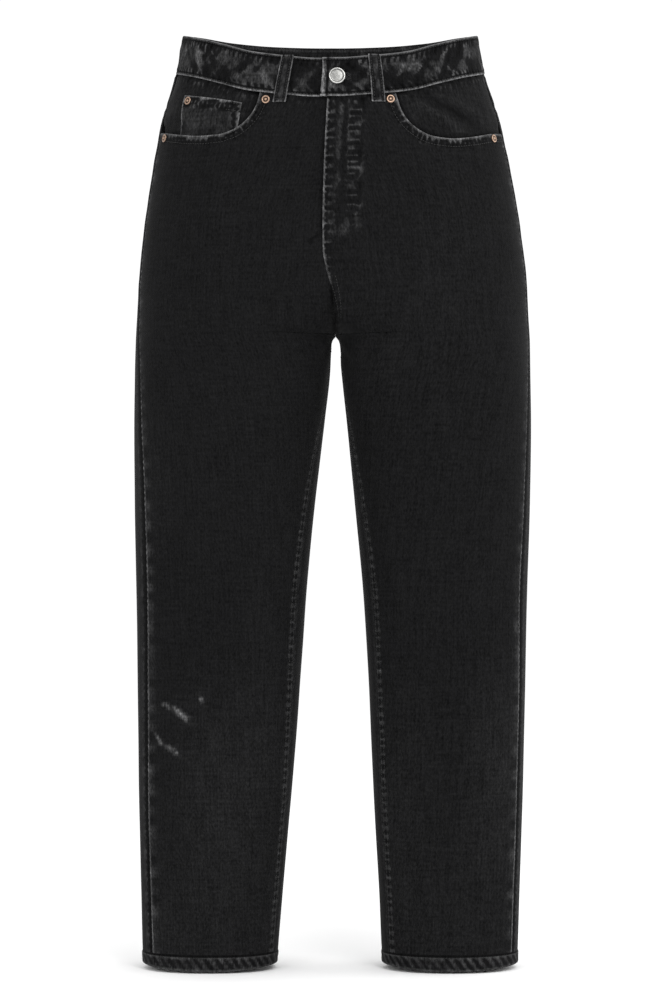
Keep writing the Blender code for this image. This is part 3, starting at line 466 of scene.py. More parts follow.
# Materials
denim = {
    "dark": (0.0068, 0.0068, 0.0071),
    "worn": (0.17, 0.17, 0.172),
    "roughness": 0.92,
    "specular": 0.03,
    "sheen": 0.045,
    "sheenRoughness": 0.38,
    "grain": 0.75,  # strength of the fine flecks
    "blotches": 0.14,
    "weave": 0.25,
}
thread = {"colour": (0.011, 0.011, 0.011), "roughness": 0.75}
steel = {
    "bright": (0.56, 0.56, 0.54), "dull": (0.05, 0.05, 0.048),
    "roughness": 0.34, "grain": 0.3, "spots": 520,
}
copper = {
    "bright": (0.38, 0.26, 0.19), "dull": (0.022, 0.015, 0.011),
    "roughness": 0.34, "grain": 0.12, "spots": 900,
}


class Nodes:
    # short forms for building a node tree
    def __init__(self, name):
        self.material = bpy.data.materials.new(name)
        self.material.use_nodes = True
        self.tree = self.material.node_tree
        self.shader = self.tree.nodes["Principled BSDF"]

    def add(self, kind, inputs=(), **settings):
        node = self.tree.nodes.new(kind)
        for key, value in settings.items():
            setattr(node, key, value)
        for key, value in dict(inputs).items():
            self.set(node.inputs[key], value)
        return node

    def set(self, socket, value):
        if isinstance(value, bpy.types.NodeSocket):
            self.tree.links.new(value, socket)
        else:
            socket.default_value = value

    def math(self, operation, a, b=0.0, clamp=False):
        node = self.add("ShaderNodeMath", operation=operation, use_clamp=clamp)
        self.set(node.inputs[0], a)
        self.set(node.inputs[1], b)
        return node.outputs[0]

    def mix(self, share, a, b):
        node = self.add("ShaderNodeMix", data_type="RGBA")
        self.set(node.inputs[0], share)
        self.set(node.inputs[6], a)
        self.set(node.inputs[7], b)
        return node.outputs[2]

    def noise(self, vector, scale, detail=2.0, stretch=(1, 1, 1)):
        mapping = self.add("ShaderNodeMapping", {"Vector": vector, "Scale": stretch})
        made = self.add("ShaderNodeTexNoise", {"Vector": mapping.outputs[0], "Scale": scale, "Detail": detail})
        return made.outputs[0]


def makeDenim():
    n = Nodes("washedBlackDenim")
    cloth = n.add("ShaderNodeAttribute", attribute_name="cloth").outputs["Vector"]
    fade = n.add("ShaderNodeAttribute", attribute_name="fade").outputs["Fac"]
    flecks = n.noise(cloth, 620, 3.0, (1, 0.45, 1))
    slubs = n.noise(cloth, 420, 2.0, (1, 0.06, 1))
    picks = n.noise(cloth, 420, 2.0, (0.07, 1, 1))
    blotch = n.noise(cloth, 95, 3.0)
    wide = n.noise(cloth, 17, 2.0, (1, 0.6, 1))
    threads = n.math("ADD", n.math("MULTIPLY", slubs, 0.27), n.math("MULTIPLY", picks, 0.18))
    grain = n.math("ADD", n.math("MULTIPLY", flecks, 0.55), threads)
    grain = n.math("MULTIPLY", n.math("SUBTRACT", grain, 0.5), 2 * denim["grain"] * 2.2)
    cloud = n.math("ADD", n.math("MULTIPLY", blotch, 0.6), n.math("MULTIPLY", wide, 0.4))
    cloud = n.math("MULTIPLY", n.math("SUBTRACT", cloud, 0.5), 2 * denim["blotches"] * 2.2)
    tone = n.math("ADD", 1.0, n.math("ADD", grain, cloud))
    # values below zero darken the cloth below its own unworn colour: painted shade in hollows, grooves and folds
    paintedShade = n.math("ADD", 1.0, n.math("MULTIPLY", n.math("MINIMUM", fade, 0.0), 0.9))
    tone = n.math("MULTIPLY", tone, paintedShade)
    worn = n.math("MULTIPLY", fade, n.math("ADD", 0.55, n.math("MULTIPLY", blotch, 0.9)), clamp=True)
    worn = n.math("MULTIPLY", worn, n.math("ADD", 0.8, n.math("MULTIPLY", grain, 0.8)), clamp=True)
    base = n.mix(worn, (*denim["dark"], 1), (*denim["worn"], 1))
    toned = n.add("ShaderNodeVectorMath", operation="SCALE")
    n.set(toned.inputs[0], base)
    n.set(toned.inputs["Scale"], tone)
    turn = n.add("ShaderNodeMapping", {"Vector": cloth, "Rotation": (0, 0, math.radians(62))})
    ribs = {"Vector": turn.outputs[0], "Scale": 145.0, "Distortion": 1.2, "Detail": 1.0}
    twill = n.add("ShaderNodeTexWave", ribs, wave_profile="SIN")
    height = n.math("ADD", n.math("MULTIPLY", twill.outputs[1], 0.5), n.math("MULTIPLY", flecks, 0.6))
    relief = n.add("ShaderNodeBump", {"Strength": denim["weave"], "Distance": 0.0006, "Height": height})
    n.set(n.shader.inputs["Base Color"], toned.outputs[0])
    n.set(n.shader.inputs["Normal"], relief.outputs[0])
    n.shader.inputs["Roughness"].default_value = denim["roughness"]
    n.shader.inputs["Specular IOR Level"].default_value = denim["specular"]
    n.shader.inputs["Sheen Weight"].default_value = denim["sheen"]
    n.shader.inputs["Sheen Roughness"].default_value = denim["sheenRoughness"]
    return n.material


def makePlain(name, look):
    n = Nodes(name)
    n.shader.inputs["Base Color"].default_value = (*look["colour"], 1)
    n.shader.inputs["Roughness"].default_value = look["roughness"]
    return n.material


def makeMetal(name, look):
    # bright where it is rubbed, dull in its hollows
    n = Nodes(name)
    rubbedAndShaded = n.add("ShaderNodeAttribute", attribute_name="fade").outputs["Fac"]
    place = n.add("ShaderNodeTexCoord").outputs["Object"]
    spots = n.noise(place, look["spots"], 3.0)
    uneven = n.math("MULTIPLY", n.math("SUBTRACT", spots, 0.5), look["grain"] * 2)
    mottled = n.math("ADD", rubbedAndShaded, uneven, clamp=True)
    n.set(n.shader.inputs["Base Color"], n.mix(mottled, (*look["dull"], 1), (*look["bright"], 1)))
    relief = n.add("ShaderNodeBump", {"Strength": look["grain"], "Distance": 0.0002, "Height": spots})
    n.set(n.shader.inputs["Normal"], relief.outputs[0])
    n.shader.inputs["Roughness"].default_value = look["roughness"]
    n.shader.inputs["Metallic"].default_value = 1.0
    return n.material


denimFinish = makeDenim()
threadFinish = makePlain("tonalThread", thread)
steelFinish = makeMetal("steel", steel)
copperFinish = makeMetal("copper", copper)
print("materials made")

# Folds that run over all panels
folds = {
    "soft": 0.9 * mm, "hipCreases": 0.45 * mm, "crotchPull": 0.8 * mm,
    "groove": 16 * mm, "grooveWidth": 3.4 * mm,
}


def bodyFolds(points):
    x, y, z = points.T
    soft = noise(points * [1, 1, 0.45], 75 * mm, 1) * 0.7 + noise(points * [1, 1, 0.6], 32 * mm, 2) * 0.3
    hips = noise(points * [0.5, 0.5, 1.6], 26 * mm, 3) * ease((z + 0.30) / 0.08)
    dx, dz = np.abs(x - 0.004), z - body["crotchZ"]
    ray = np.arctan2(dz, dx)
    reach = np.hypot(dx, dz)
    pull = np.sin(ray * 13 + noise(points, 40 * mm, 4) * 1.2) * plateau(reach, 18 * mm, 95 * mm, 30 * mm)
    pull *= np.abs(dz) < 0.12
    fold = folds["soft"] * soft + folds["hipCreases"] * hips + folds["crotchPull"] * pull * (y < 0)
    return fold


def crotchGroove(points):
    # the sharp fold between the thighs, under the fly
    x, y, z = points.T
    mid = middle(z, False)
    deep = ease((-0.226 - z) / 0.044) * ease((z - body["crotchZ"] + 0.006) / 0.006) * (y < 0.01)
    return folds["groove"] * deep * bump(x - mid, folds["grooveWidth"])


def creases(points, size, seed, sharpness=7):
    # thin crossing lines, 1 on a line and 0 between
    return (1 - np.abs(noise(points, size, seed))) ** sharpness


def rubbedAndShaded(waves, light, dark):
    # ridges are rubbed light, and the hollows between them are painted darker than the unworn cloth as shade
    return light * np.clip(waves, 0, 1) - dark * np.clip(-waves, 0, 1)


def pucker(along, pitch, seed, width=1.0):
    # uneven waves along a sewn edge
    place = np.stack([along, np.full(len(along), seed), np.zeros(len(along))], axis=1)
    drift = noise(place, pitch * 2.7, seed) * 1.9
    size = 0.65 + 0.35 * noise(place, pitch * 4.3, seed + 5)
    return np.sin(2 * math.pi * along / pitch + drift) * size * width


# Front pockets: (x, z) in mm down the mouth, from the waist seam to near the side seam
mouths = {
    "right": (
        (70.7, -40.0), (75.2, -50.5), (81.7, -61.0), (90.6, -69.5), (101.7, -75.5), (115.0, -78.6),
        (132.3, -79.0), (155.1, -76.0), (168.5, -72.5),
    ),
    "left": (
        (66.8, -37.0), (72.0, -53.0), (80.2, -66.0), (91.2, -74.8), (105.0, -80.6), (124.0, -82.2),
        (146.1, -79.2), (165.3, -74.0),
    ),
}
pocket = {
    "sideZ": {"right": -70.5 * mm, "left": -71.5 * mm},
    "depth": {"right": 3.8 * mm, "left": 2.2 * mm},
    "facingUnderlap": 14 * mm,
    "facingSlope": 26 * mm,
    "sideSlope": 10 * mm,
    "coinTopOuter": (-148 * mm, -35.5 * mm),
    "coinTopInner": (-89.8 * mm, -46.5 * mm),
    "coinSlant": 7.5 * mm,
    "coinUnderlap": 6 * mm,
    "puckers": 0.35 * mm,
}
cloth = {"wall": 1.6 * mm, "thin": 1.3 * mm}
hem = {
    "z": -930.2 * mm, "dip": 4.5 * mm, "height": 13.5 * mm,
    "inside": -2.0 * mm, "outside": 0.5 * mm, "roping": 0.45 * mm,
}
legFoot = hem["z"] + hem["height"] - 0.4 * mm
fine = (2.6 * mm, 3.1 * mm)


def mouthLine(side, panel):
    x, z = np.array(mouths[side]).T * mm
    for _ in range(6):
        z[0] = float(waistSeam(panel, panel.shareAtX(sign[side] * x[:1], z[:1]))[0]) - body["seamGap"]
    sideZ = pocket["sideZ"][side]
    x = np.append(x, float(surface(side, panel.angle(0.0, sideZ), sideZ)[0]) * sign[side])
    z = np.append(z, sideZ)
    knots = np.arange(len(x), dtype=float)
    along = np.linspace(0, len(x) - 1, 4 * len(x) - 3)
    x, z = smooth(along, knots, x), smooth(along, knots, z)
    u = panel.shareAtX(sign[side] * x, z)
    u[-1] = 0.0
    return panel.plane(u, z)


def panelOutline(panel, step):
    tuck = 1.2 * mm  # how far the panels reach up behind the waistband
    sideTop = float(waistSeam(panel, 0.0)) + tuck
    innerTop = float(waistSeam(panel, 1.0)) + tuck
    margin = float(panel.inset(legFoot))
    u = np.linspace(float(panel.inset(sideTop)), 1 - float(panel.inset(innerTop)), 90)
    waist = panel.plane(u, waistSeam(panel, u) + tuck)
    v = np.arange(float(panel.level(1.0, innerTop)), 0, -step)
    legZ = np.arange(body["crotchZ"] - 1 * mm, legFoot + step / 2, -step)
    z = np.concatenate([panel.height(np.ones(len(v)), v), legZ, [legFoot]])
    inner = panel.plane(1 - panel.inset(z), z)
    foot = panel.plane(np.linspace(1 - margin, margin, 80), legFoot)
    z = np.arange(legFoot, sideTop - step / 2, step)
    outer = panel.plane(panel.inset(z), z)
    return ringOf(waist, inner[1:], foot[1:], outer[1:])


def flyInward(panel, distance, z):
    return panel.plane(1 - distance / panel.rowLength(z), z)


def flyLift(panel, u, z):
    inward = (1 - u) * panel.rowLength(z)
    across = 1 - ease((inward - fly["width"]) / fly["ramp"])
    return fly["lift"] * across * ease((z - fly["bottomZ"] + 36 * mm) / (26 * mm))


def flyRing(panel):
    topZ, footZ = -45 * mm, fly["bottomZ"] + 4 * mm
    near, far, bend = fly["underlap"] + 2.5 * mm, fly["width"] - 1 * mm, 32 * mm
    turn = np.linspace(0, math.pi / 2, 7)[1:]
    z = np.concatenate([np.linspace(topZ, footZ, 10), footZ + bend * (1 - np.cos(turn))])
    inward = np.concatenate([np.full(10, near), near + (far - near) * np.sin(turn)])
    straightZ = np.linspace(footZ + bend, topZ, 8)[1:]
    ring = flyInward(panel, np.concatenate([inward, np.full(7, far)]), np.concatenate([z, straightZ]))
    return resampled(closedLine(ring), 8 * mm)[:-1]


def facingDepth(panel, mouth, deepest):
    corner = [-20 * mm, mouth[-1, 1]]
    bag = np.concatenate([mouth, [corner, [corner[0], mouth[0, 1] + 50 * mm], mouth[0] + [0, 50 * mm]]])

    def depth(u, z):
        plane = panel.plane(u, z)
        away = np.where(inside(plane, bag), nearest(plane, mouth)[0], 0.0)
        fromSide = ease(u * panel.rowLength(z) / (45 * mm))
        slope = pocket["sideSlope"] + (pocket["facingSlope"] - pocket["sideSlope"]) * fromSide
        return body["seamGap"] + (deepest - body["seamGap"]) * (1 - ease((away - 4 * mm) / slope))

    return depth


def coinRing(panel, mouth):
    (x0, z0), (x1, z1) = pocket["coinTopOuter"], pocket["coinTopInner"]
    across = np.linspace(0, 1, 5)
    x, z = x0 + (x1 - x0) * across, z0 + (z1 - z0) * across
    top = panel.plane(panel.shareAtX(x, z), z)
    ends = panel.shareAtX(np.array([x0, x1]) - pocket["coinSlant"] * np.array([1, 0.5]), np.array([-80, -62]) * mm)
    under = movedOut(mouth, pocket["coinUnderlap"])[::-1]
    footX = np.linspace(ends[1], ends[0], 9) * body["panelWidth"]
    foot = np.stack([footX, np.interp(footX, under[:, 0], under[:, 1])], axis=1)
    return resampled(closedLine(np.concatenate([top, foot])), 2 * mm)[:-1], top


def onSurface(panel, plane):
    return panel.place(plane)[0]


def sewnEdge(distance, along, pitch, seed, first=2 * mm, second=8 * mm, size=0.35 * mm):
    # a double row of stitches along an edge: grooves on the rows, uneven waves between them
    rows = -0.28 * mm * (bump(distance - first, 0.9 * mm) + bump(distance - second, 0.9 * mm))
    between = plateau(distance, first - 0.5 * mm, second + 1.5 * mm, 3 * mm)
    waves = pucker(along, pitch, seed) * between
    return rows + size * waves, waves


frontLook = {
    "edgeLight": 1.0,  # rubbed edges of the mouth and the fly
    "puckerLight": 0.3,
    # the pucker and seam darkening below is painted shade, in the puckers' hollows and in the valley beside the outseam
    "puckerShade": 0.65,
    "seamLight": 0.85,
    "seamShade": 0.8,
}


def edgeWear(points, distance, width, seed):
    # uneven worn line along an edge
    patchy = 0.72 + 0.28 * noise(points, 9 * mm, seed) + 0.22 * noise(points, 3 * mm, seed + 1)
    return bump(distance, width) * np.clip(patchy, 0, 1.3)


def frontRelief(side, panel, mouth, seed):
    mouthSpace = onSurface(panel, thinned(mouth, 3 * mm))
    light, dark = frontLook["puckerLight"], frontLook["puckerShade"]

    def relief(points, u, z):
        length = panel.rowLength(z)
        fromSide, fromInner = u * length, (1 - u) * length
        fromWaist = waistSeam(panel, u) - z
        raised = bodyFolds(points)
        fade = 0.012 * noise(points * [1, 1, 0.4], 60 * mm, 11) + 0.016 * ease((-0.55 - z) / 0.2)
        # outseam: a rubbed ridge beside a valley painted dark as shade, and the allowance under it as a blotchy band
        blocks = pucker(z, 21 * mm, seed) + 0.8 * noise(points * [0.3, 0.3, 1], 9 * mm, seed + 9)
        raised = raised - 0.8 * mm * bump(fromSide, 1.3 * mm) + 0.3 * mm * bump(fromSide - 4 * mm, 3 * mm)
        raised = raised + 0.15 * mm * blocks * bump(fromSide - 6 * mm, 5 * mm)
        fade = fade + frontLook["seamLight"] * edgeWear(points, fromSide - 2.2 * mm, 1.2 * mm, seed + 1)
        fade = fade - frontLook["seamShade"] * bump(fromSide - 0.3 * mm, 1.0 * mm)
        fade = fade + (0.05 + 0.08 * blocks) * bump(fromSide - 6 * mm, 5.5 * mm)
        # inseam, with its double row on the front below the crotch; the hollows between the rows get painted shade
        leg = ease((body["crotchZ"] - z) / (30 * mm))
        rows, waves = sewnEdge(fromInner, z, 8.5 * mm, seed + 2, 1.8 * mm, 7.4 * mm, 0.34 * mm)
        raised = raised + leg * (rows - 0.7 * mm * bump(fromInner, 1.4 * mm))
        lines = 0.16 * edgeWear(points, fromInner - 1.8 * mm, 1.1 * mm, seed + 3)
        lines = lines + 0.13 * edgeWear(points, fromInner - 8 * mm, 1.1 * mm, seed + 4)
        fade = fade + leg * (rubbedAndShaded(waves, 0.22, 0.55) + 0.03 * bump(fromInner - 5 * mm, 4 * mm) + 1.35 * lines)
        # waist seam: a painted shadow under the band's lower edge, and puckers with painted shade in their hollows
        waves = pucker(u * length, 7 * mm, seed + 4) + 0.6 * noise(points, 5 * mm, seed + 8)
        strip = bump(fromWaist - 4.5 * mm, 3.6 * mm)
        raised = raised - 0.9 * mm * bump(fromWaist, 1.5 * mm) + 0.4 * mm * waves * strip
        fade = fade - 0.9 * bump(fromWaist - 0.3 * mm, 1.3 * mm) + rubbedAndShaded(waves, 0.12, 0.6) * strip
        # pocket mouth: a rubbed light edge, with painted shade in the pucker hollows and along both stitch rows
        near = (z > -130 * mm) & (fromSide < 150 * mm)
        distance, along = np.full(len(u), 1.0), np.zeros(len(u))
        distance[near], along[near] = nearest(points[near], mouthSpace)
        rows, waves = sewnEdge(distance, along, 5.6 * mm, seed + 6, 2.4 * mm, 8.4 * mm, pocket["puckers"])
        raised = raised + rows - 0.5 * mm * bump(distance, 0.8 * mm)
        fade = fade + rubbedAndShaded(waves, light, dark) - 0.5 * bump(distance - 2.6 * mm, 0.8 * mm)
        fade = fade - 0.45 * bump(distance - 8.4 * mm, 0.9 * mm)
        fade = fade + frontLook["edgeLight"] * edgeWear(points, distance - 0.3 * mm, 1.05 * mm, seed + 7)
        if side == "left":
            flyRelief(panel, points, fromInner, z, raised, fade)
        else:
            flyShadow(fromInner, z, raised, fade)
            scuffs(points, fade)
        fade = fade - 0.95 * slotShade(points)
        return raised, np.clip(fade, -1, 1.2)

    return relief


def slotShade(points):
    # painted shade in the deep fold between the thighs, which is also never rubbed
    x, y, z = points.T
    wide = 1.2 * mm + 2.6 * mm * np.clip((-0.236 - z) / 0.044, 0, 1)
    off = x - middle(z, False) + 0.4 * mm
    within = ease((-0.228 - z) / 0.012) * (z > body["crotchZ"] - 2 * mm) * (y < 0.02)
    return within * ease((wide - np.abs(off)) / (1.6 * mm) + 0.5)


def flyShadow(inward, z, raised, fade):
    # a painted shadow where the right front lies lower beside the fly's edge
    beside = inward - fly["underlap"]
    fade -= 0.55 * bump(beside, 3 * mm) * (z > fly["bottomZ"])


def flyRelief(panel, points, inward, z, raised, fade):
    # changes the relief and the fading and painted shade in place
    above = ease((z - fly["bottomZ"] + 12 * mm) / (8 * mm)) * (z > -0.30)
    below = (1 - ease((z - fly["bottomZ"]) / (6 * mm))) * (z > body["crotchZ"] + 4 * mm)
    edge = ease((z + 0.243) / 0.02)  # the rubbed edge ends where the deep fold starts
    fade += frontLook["edgeLight"] * edge * edgeWear(points, inward - 0.4 * mm, 1.0 * mm, 21)
    raised -= 0.5 * mm * bump(inward, 0.9 * mm)
    # puckers beside the fly's edge, with painted shade in their hollows and along the stitch row
    waves = pucker(z, 9.6 * mm, 22) + 0.5 * noise(points, 4 * mm, 26)
    strip = plateau(inward, 2.5 * mm, 9 * mm, 3 * mm) * above
    raised += 0.5 * mm * waves * strip - 0.25 * mm * bump(inward - 2.2 * mm, 0.9 * mm) * above
    fade += (rubbedAndShaded(waves, 0.24, 0.65) + 0.045) * strip - 0.5 * bump(inward - 2.4 * mm, 0.8 * mm) * above
    # the fly's own layers end in a soft step that the double row follows, with painted shade in the pucker hollows
    waves = pucker(z, 7.3 * mm, 23) + 0.7 * noise(points, 4.5 * mm, 27)
    strip = plateau(inward, fly["width"] - 14 * mm, fly["width"] + 1 * mm, 4 * mm) * above
    strip = strip * ease((z - fly["bottomZ"] - 8 * mm) / (12 * mm))
    raised += 0.4 * mm * waves * strip
    fade += (rubbedAndShaded(waves, 0.2, 0.6) + 0.03) * strip
    # a rubbed ridge over the hidden zip, with painted shade in its hollows
    ridge = plateau(inward, 12 * mm, 24 * mm, 6 * mm) * above * ease((z - fly["bottomZ"] - 2 * mm) / (12 * mm))
    along = np.stack([inward, np.zeros(len(z)), z * 0.13], axis=1)
    streak = noise(along, 5 * mm, 24) + 0.3 * noise(points, 6 * mm, 28)
    raised += 0.4 * mm * streak * ridge
    fade += (rubbedAndShaded(streak, 0.2, 0.5) + 0.075) * ridge
    # the double row below the fly, with painted shade in its pucker hollows
    rows, waves = sewnEdge(inward, z, 8 * mm, 25, 1.8 * mm, 7 * mm, 0.3 * mm)
    raised += rows * below
    fade += rubbedAndShaded(waves, 0.06, 0.4) * below


# Scuffed places on the shin: x, z, length and width in mm, turn in degrees, strength
Scuff = namedtuple("Scuff", "x z length width turn strength")
scuffTable = (
    Scuff(-168.5, -659.5, 9, 1.6, 8, 0.45),
    Scuff(-164.5, -662.0, 4, 2.2, 40, 0.4),
    Scuff(-156.0, -665.0, 9, 3.0, -35, 0.75),
    Scuff(-151.5, -669.5, 10, 3.4, -18, 0.95),
    Scuff(-147.5, -673.5, 7, 2.4, -48, 0.8),
    Scuff(-132.5, -652.5, 6, 1.7, -28, 0.45),
    Scuff(-129.0, -655.0, 3.5, 1.6, 30, 0.35),
    Scuff(-176.0, -695.0, 8, 2.2, -52, 0.55),
    Scuff(-173.0, -699.5, 4, 2.4, 10, 0.4),
    Scuff(-163.0, -704.5, 9, 3.2, -12, 0.6),
    Scuff(-157.5, -709.0, 6, 2.6, -40, 0.5),
)


def scuffs(points, fade):
    x, _, z = points.T
    for k, s in enumerate(scuffTable):
        turn = math.radians(s.turn)
        dx, dz = x - s.x * mm, z - s.z * mm
        a = dx * math.cos(turn) + dz * math.sin(turn)
        b = -dx * math.sin(turn) + dz * math.cos(turn)
        ragged = 1 + 0.5 * noise(points, 2.6 * mm, 30 + k)
        off = (a / (s.length * mm / 2)) ** 2 + (b / (s.width * mm / 2)) ** 2
        fade += s.strength * np.exp(-off / np.maximum(ragged, 0.3) ** 2) * (points[:, 1] < 0)


# Creases of the left facing: x and z in mm, slope, size (negative is a valley)
facingCreases = ((92, -48, -0.72, 0.9), (108, -56, -0.62, 1.0), (118, -50, -0.5, -0.7), (130, -44, -0.4, 0.5))


def facingRelief(side, panel, mouth):
    mouthSpace = onSurface(panel, thinned(mouth, 3 * mm))

    def relief(points, u, z):
        fromWaist = waistSeam(panel, u) - z
        fromSide = u * panel.rowLength(z)
        raised = 0.5 * mm * noise(points, 18 * mm, 41) + 0.3 * mm * noise(points, 7 * mm, 42)
        # the left facing gets less fading than the right: painted shade offsetting the light its upward tilt catches
        fade = (0.004 if side == "left" else 0.018) + 0.02 * noise(points, 12 * mm, 43)
        if side == "left":
            # creases that run from the mouth's bend up to the side, their valleys painted dark as shade
            x = points[:, 0]
            for x0, z0, slope, size in facingCreases:
                off = (z - z0 * mm) - slope * (x - x0 * mm)
                line = bump(off, 2.8 * mm) * bump(x - (x0 + 9) * mm, 20 * mm)
                raised = raised + size * 1.3 * mm * line
                fade = fade + (0.03 if size > 0 else -0.7) * line
        raised = raised - 0.9 * mm * bump(fromWaist, 1.5 * mm) - 0.6 * mm * bump(fromSide, 1.5 * mm)
        waves = pucker(u * panel.rowLength(z), 6.5 * mm, 44) + 0.8 * noise(points, 4.5 * mm, 46)
        strip = bump(fromWaist - 4.5 * mm, 3.4 * mm)
        raised = raised + 0.4 * mm * waves * strip
        # puckers with painted shade in their hollows, and a painted shadow under the band's lower edge
        fade = fade + rubbedAndShaded(waves, 0.14, 0.7) * strip - 0.9 * bump(fromWaist - 0.3 * mm, 1.3 * mm)
        # a rubbed edge by the side seam, and painted shade in the seam's valley
        fade = fade + 0.4 * edgeWear(points, fromSide - 2 * mm, 1.0 * mm, 45) - 0.6 * bump(fromSide, 0.9 * mm)
        distance, _ = nearest(points, mouthSpace)
        fade = fade - 0.8 * bump(distance, 2.2 * mm)  # in the mouth's shadow
        return raised, np.clip(fade, -1, 1)

    return relief


def coinRelief(panel, ring, top):
    topSpace = onSurface(panel, thinned(top, 3 * mm))
    edgeSpace = onSurface(panel, closedLine(ring))
    innerX = float(onSurface(panel, top[-1:])[0, 0])

    def relief(points, u, z):
        distance, along = nearest(points, topSpace)
        edge, _ = nearest(points, edgeSpace)
        rows, waves = sewnEdge(distance, along, 5.2 * mm, 51, 2.4 * mm, 9.6 * mm, 0.45 * mm)
        raised = rows + 0.4 * mm * noise(points, 9 * mm, 52) - 0.4 * mm * bump(edge, 0.8 * mm)
        # puckers with painted shade in their hollows, and a rubbed edge
        fade = 0.045 + rubbedAndShaded(waves, 0.32, 0.7) + 0.95 * edgeWear(points, edge - 0.3 * mm, 0.95 * mm, 53)
        fade = fade + 0.05 * noise(points, 6 * mm, 54) + 0.06 * np.clip(noise(points, 11 * mm, 55), 0, 1)
        fade = fade + 0.22 * edgeWear(points, distance - 10.8 * mm, 0.9 * mm, 56)
        # painted shade along both stitch rows
        fade = fade - 0.6 * bump(distance - 9.4 * mm, 0.7 * mm)
        fade = fade - 0.5 * bump(distance - 2.4 * mm, 0.7 * mm)
        # a seam that shows through beside the inner edge, as a rubbed line with painted shade beside it
        fromInner = points[:, 0] - innerX
        fade = fade + 0.16 * edgeWear(points, fromInner + 10.5 * mm, 0.9 * mm, 57)
        fade = fade - 0.4 * bump(fromInner + 9 * mm, 0.8 * mm)
        return raised, np.clip(fade, -1, 1)

    return relief


stitchLines = []  # (group, points in space, tree of the cloth under them)


def treeOf(obj):
    mesh = obj.data
    co = [v.co.copy() for v in mesh.vertices]
    return BVHTree.FromPolygons(co, [tuple(p.vertices) for p in mesh.polygons])


def sew(group, points, tree):
    stitchLines.append((group, np.asarray(points, float), tree))


def offsetInSpace(panel, plane, distance, step=2.5 * mm):
    # a line on the panel, moved sideways over the surface by a real distance
    plane = thinned(plane, step)
    points, normals, _, _ = panel.place(plane)
    along = np.gradient(points, axis=0)
    along /= np.linalg.norm(along, axis=1, keepdims=True)
    return points + np.cross(normals, along) * distance


def buildFront(side):
    panel = Panel(side, back=False)
    mouth = mouthLine(side, panel)
    depth = facingDepth(panel, mouth, pocket["depth"][side])
    reach = movedOut(mouth, pocket["facingUnderlap"])
    edge = thinned(np.concatenate([mouth, mouth[-1:] - [20 * mm, 0]]), 2 * mm)
    far = thinned(np.concatenate([reach[:1] + [0, 9 * mm], reach[1:], reach[-1:] - [30 * mm, 0]]), 8 * mm)
    lines = [np.concatenate([edge[:1] + [0, 5 * mm], edge[1:]]), far]
    lines.append(movedOut(edge, 1.1 * mm)[1:-1])
    rows = np.linspace(-45 * mm, fly["bottomZ"] - 24 * mm, 70)
    if side == "right":
        coin, coinTop = coinRing(panel, mouth)
        lines.append(closedLine(coin))
    else:
        ring = flyRing(panel)
        lines += [flyInward(panel, 1.1 * mm, rows), closedLine(ring)]
    panel.plan = triangulated(panelOutline(panel, 2.6 * mm), lines, fine)
    corner = np.array([[-30 * mm, edge[-1, 1]], [-30 * mm, 400 * mm], [edge[0, 0], 400 * mm]])
    mouthRing = np.concatenate([edge, corner])
    bagCorner = np.array([[-30 * mm, far[-1, 1]], [-30 * mm, 400 * mm], [far[0, 0], 400 * mm]])
    bagRing = np.concatenate([far, bagCorner])
    lift = (lambda u, z: flyLift(panel, u, z)) if side == "left" else constant(0.0)
    seed = 100 if side == "right" else 200
    made = {}
    made["front"] = panelPiece(
        f"frontPanel_{side}", panel, lambda p: ~inside(p, mouthRing), lambda u, z: lift(u, z) - cloth["wall"], lift,
        denimFinish, frontRelief(side, panel, mouth, seed),
    )
    made["facing"] = panelPiece(
        f"pocketFacing_{side}", panel, lambda p: inside(p, bagRing), lambda u, z: -depth(u, z) - cloth["thin"],
        lambda u, z: -depth(u, z), denimFinish, facingRelief(side, panel, mouth),
    )
    if side == "right":
        made["coin"] = panelPiece(
            "coinPocket", panel, lambda p: inside(p, coin), lambda u, z: body["seamGap"] - depth(u, z),
            lambda u, z: body["seamGap"] + cloth["thin"] - depth(u, z), denimFinish, coinRelief(panel, coin, coinTop),
        )
        tree = treeOf(made["coin"])
        for d in (2.2 * mm, 9.5 * mm):
            sew("pocket", offsetInSpace(panel, coinTop, -d)[1:-1], tree)
    else:
        flat = lambda points, u, z: (bodyFolds(points), np.full(len(u), 0.02))
        made["fly"] = panelPiece(
            "flyFacing", panel, lambda p: inside(p, ring),
            lambda u, z: lift(u, z) - cloth["wall"] - body["seamGap"] - 1.2 * mm,
            lambda u, z: lift(u, z) - cloth["wall"] - body["seamGap"], denimFinish, flat,
        )
    tree = treeOf(made["front"])
    for d in (2.2 * mm, 8.4 * mm):
        sew("pocket", offsetInSpace(panel, mouth, d if side == "right" else -d)[1:-1], tree)
    z = np.arange(body["crotchZ"] - 12 * mm, legFoot + 3 * mm, -4 * mm)
    for d in (1.8 * mm, 7.4 * mm):
        sew("leg", onSurface(panel, flyInward(panel, d, z)), tree)
    if side == "left":
        sewFly(panel, tree)
    print(f"{side} front made")
    return panel, made


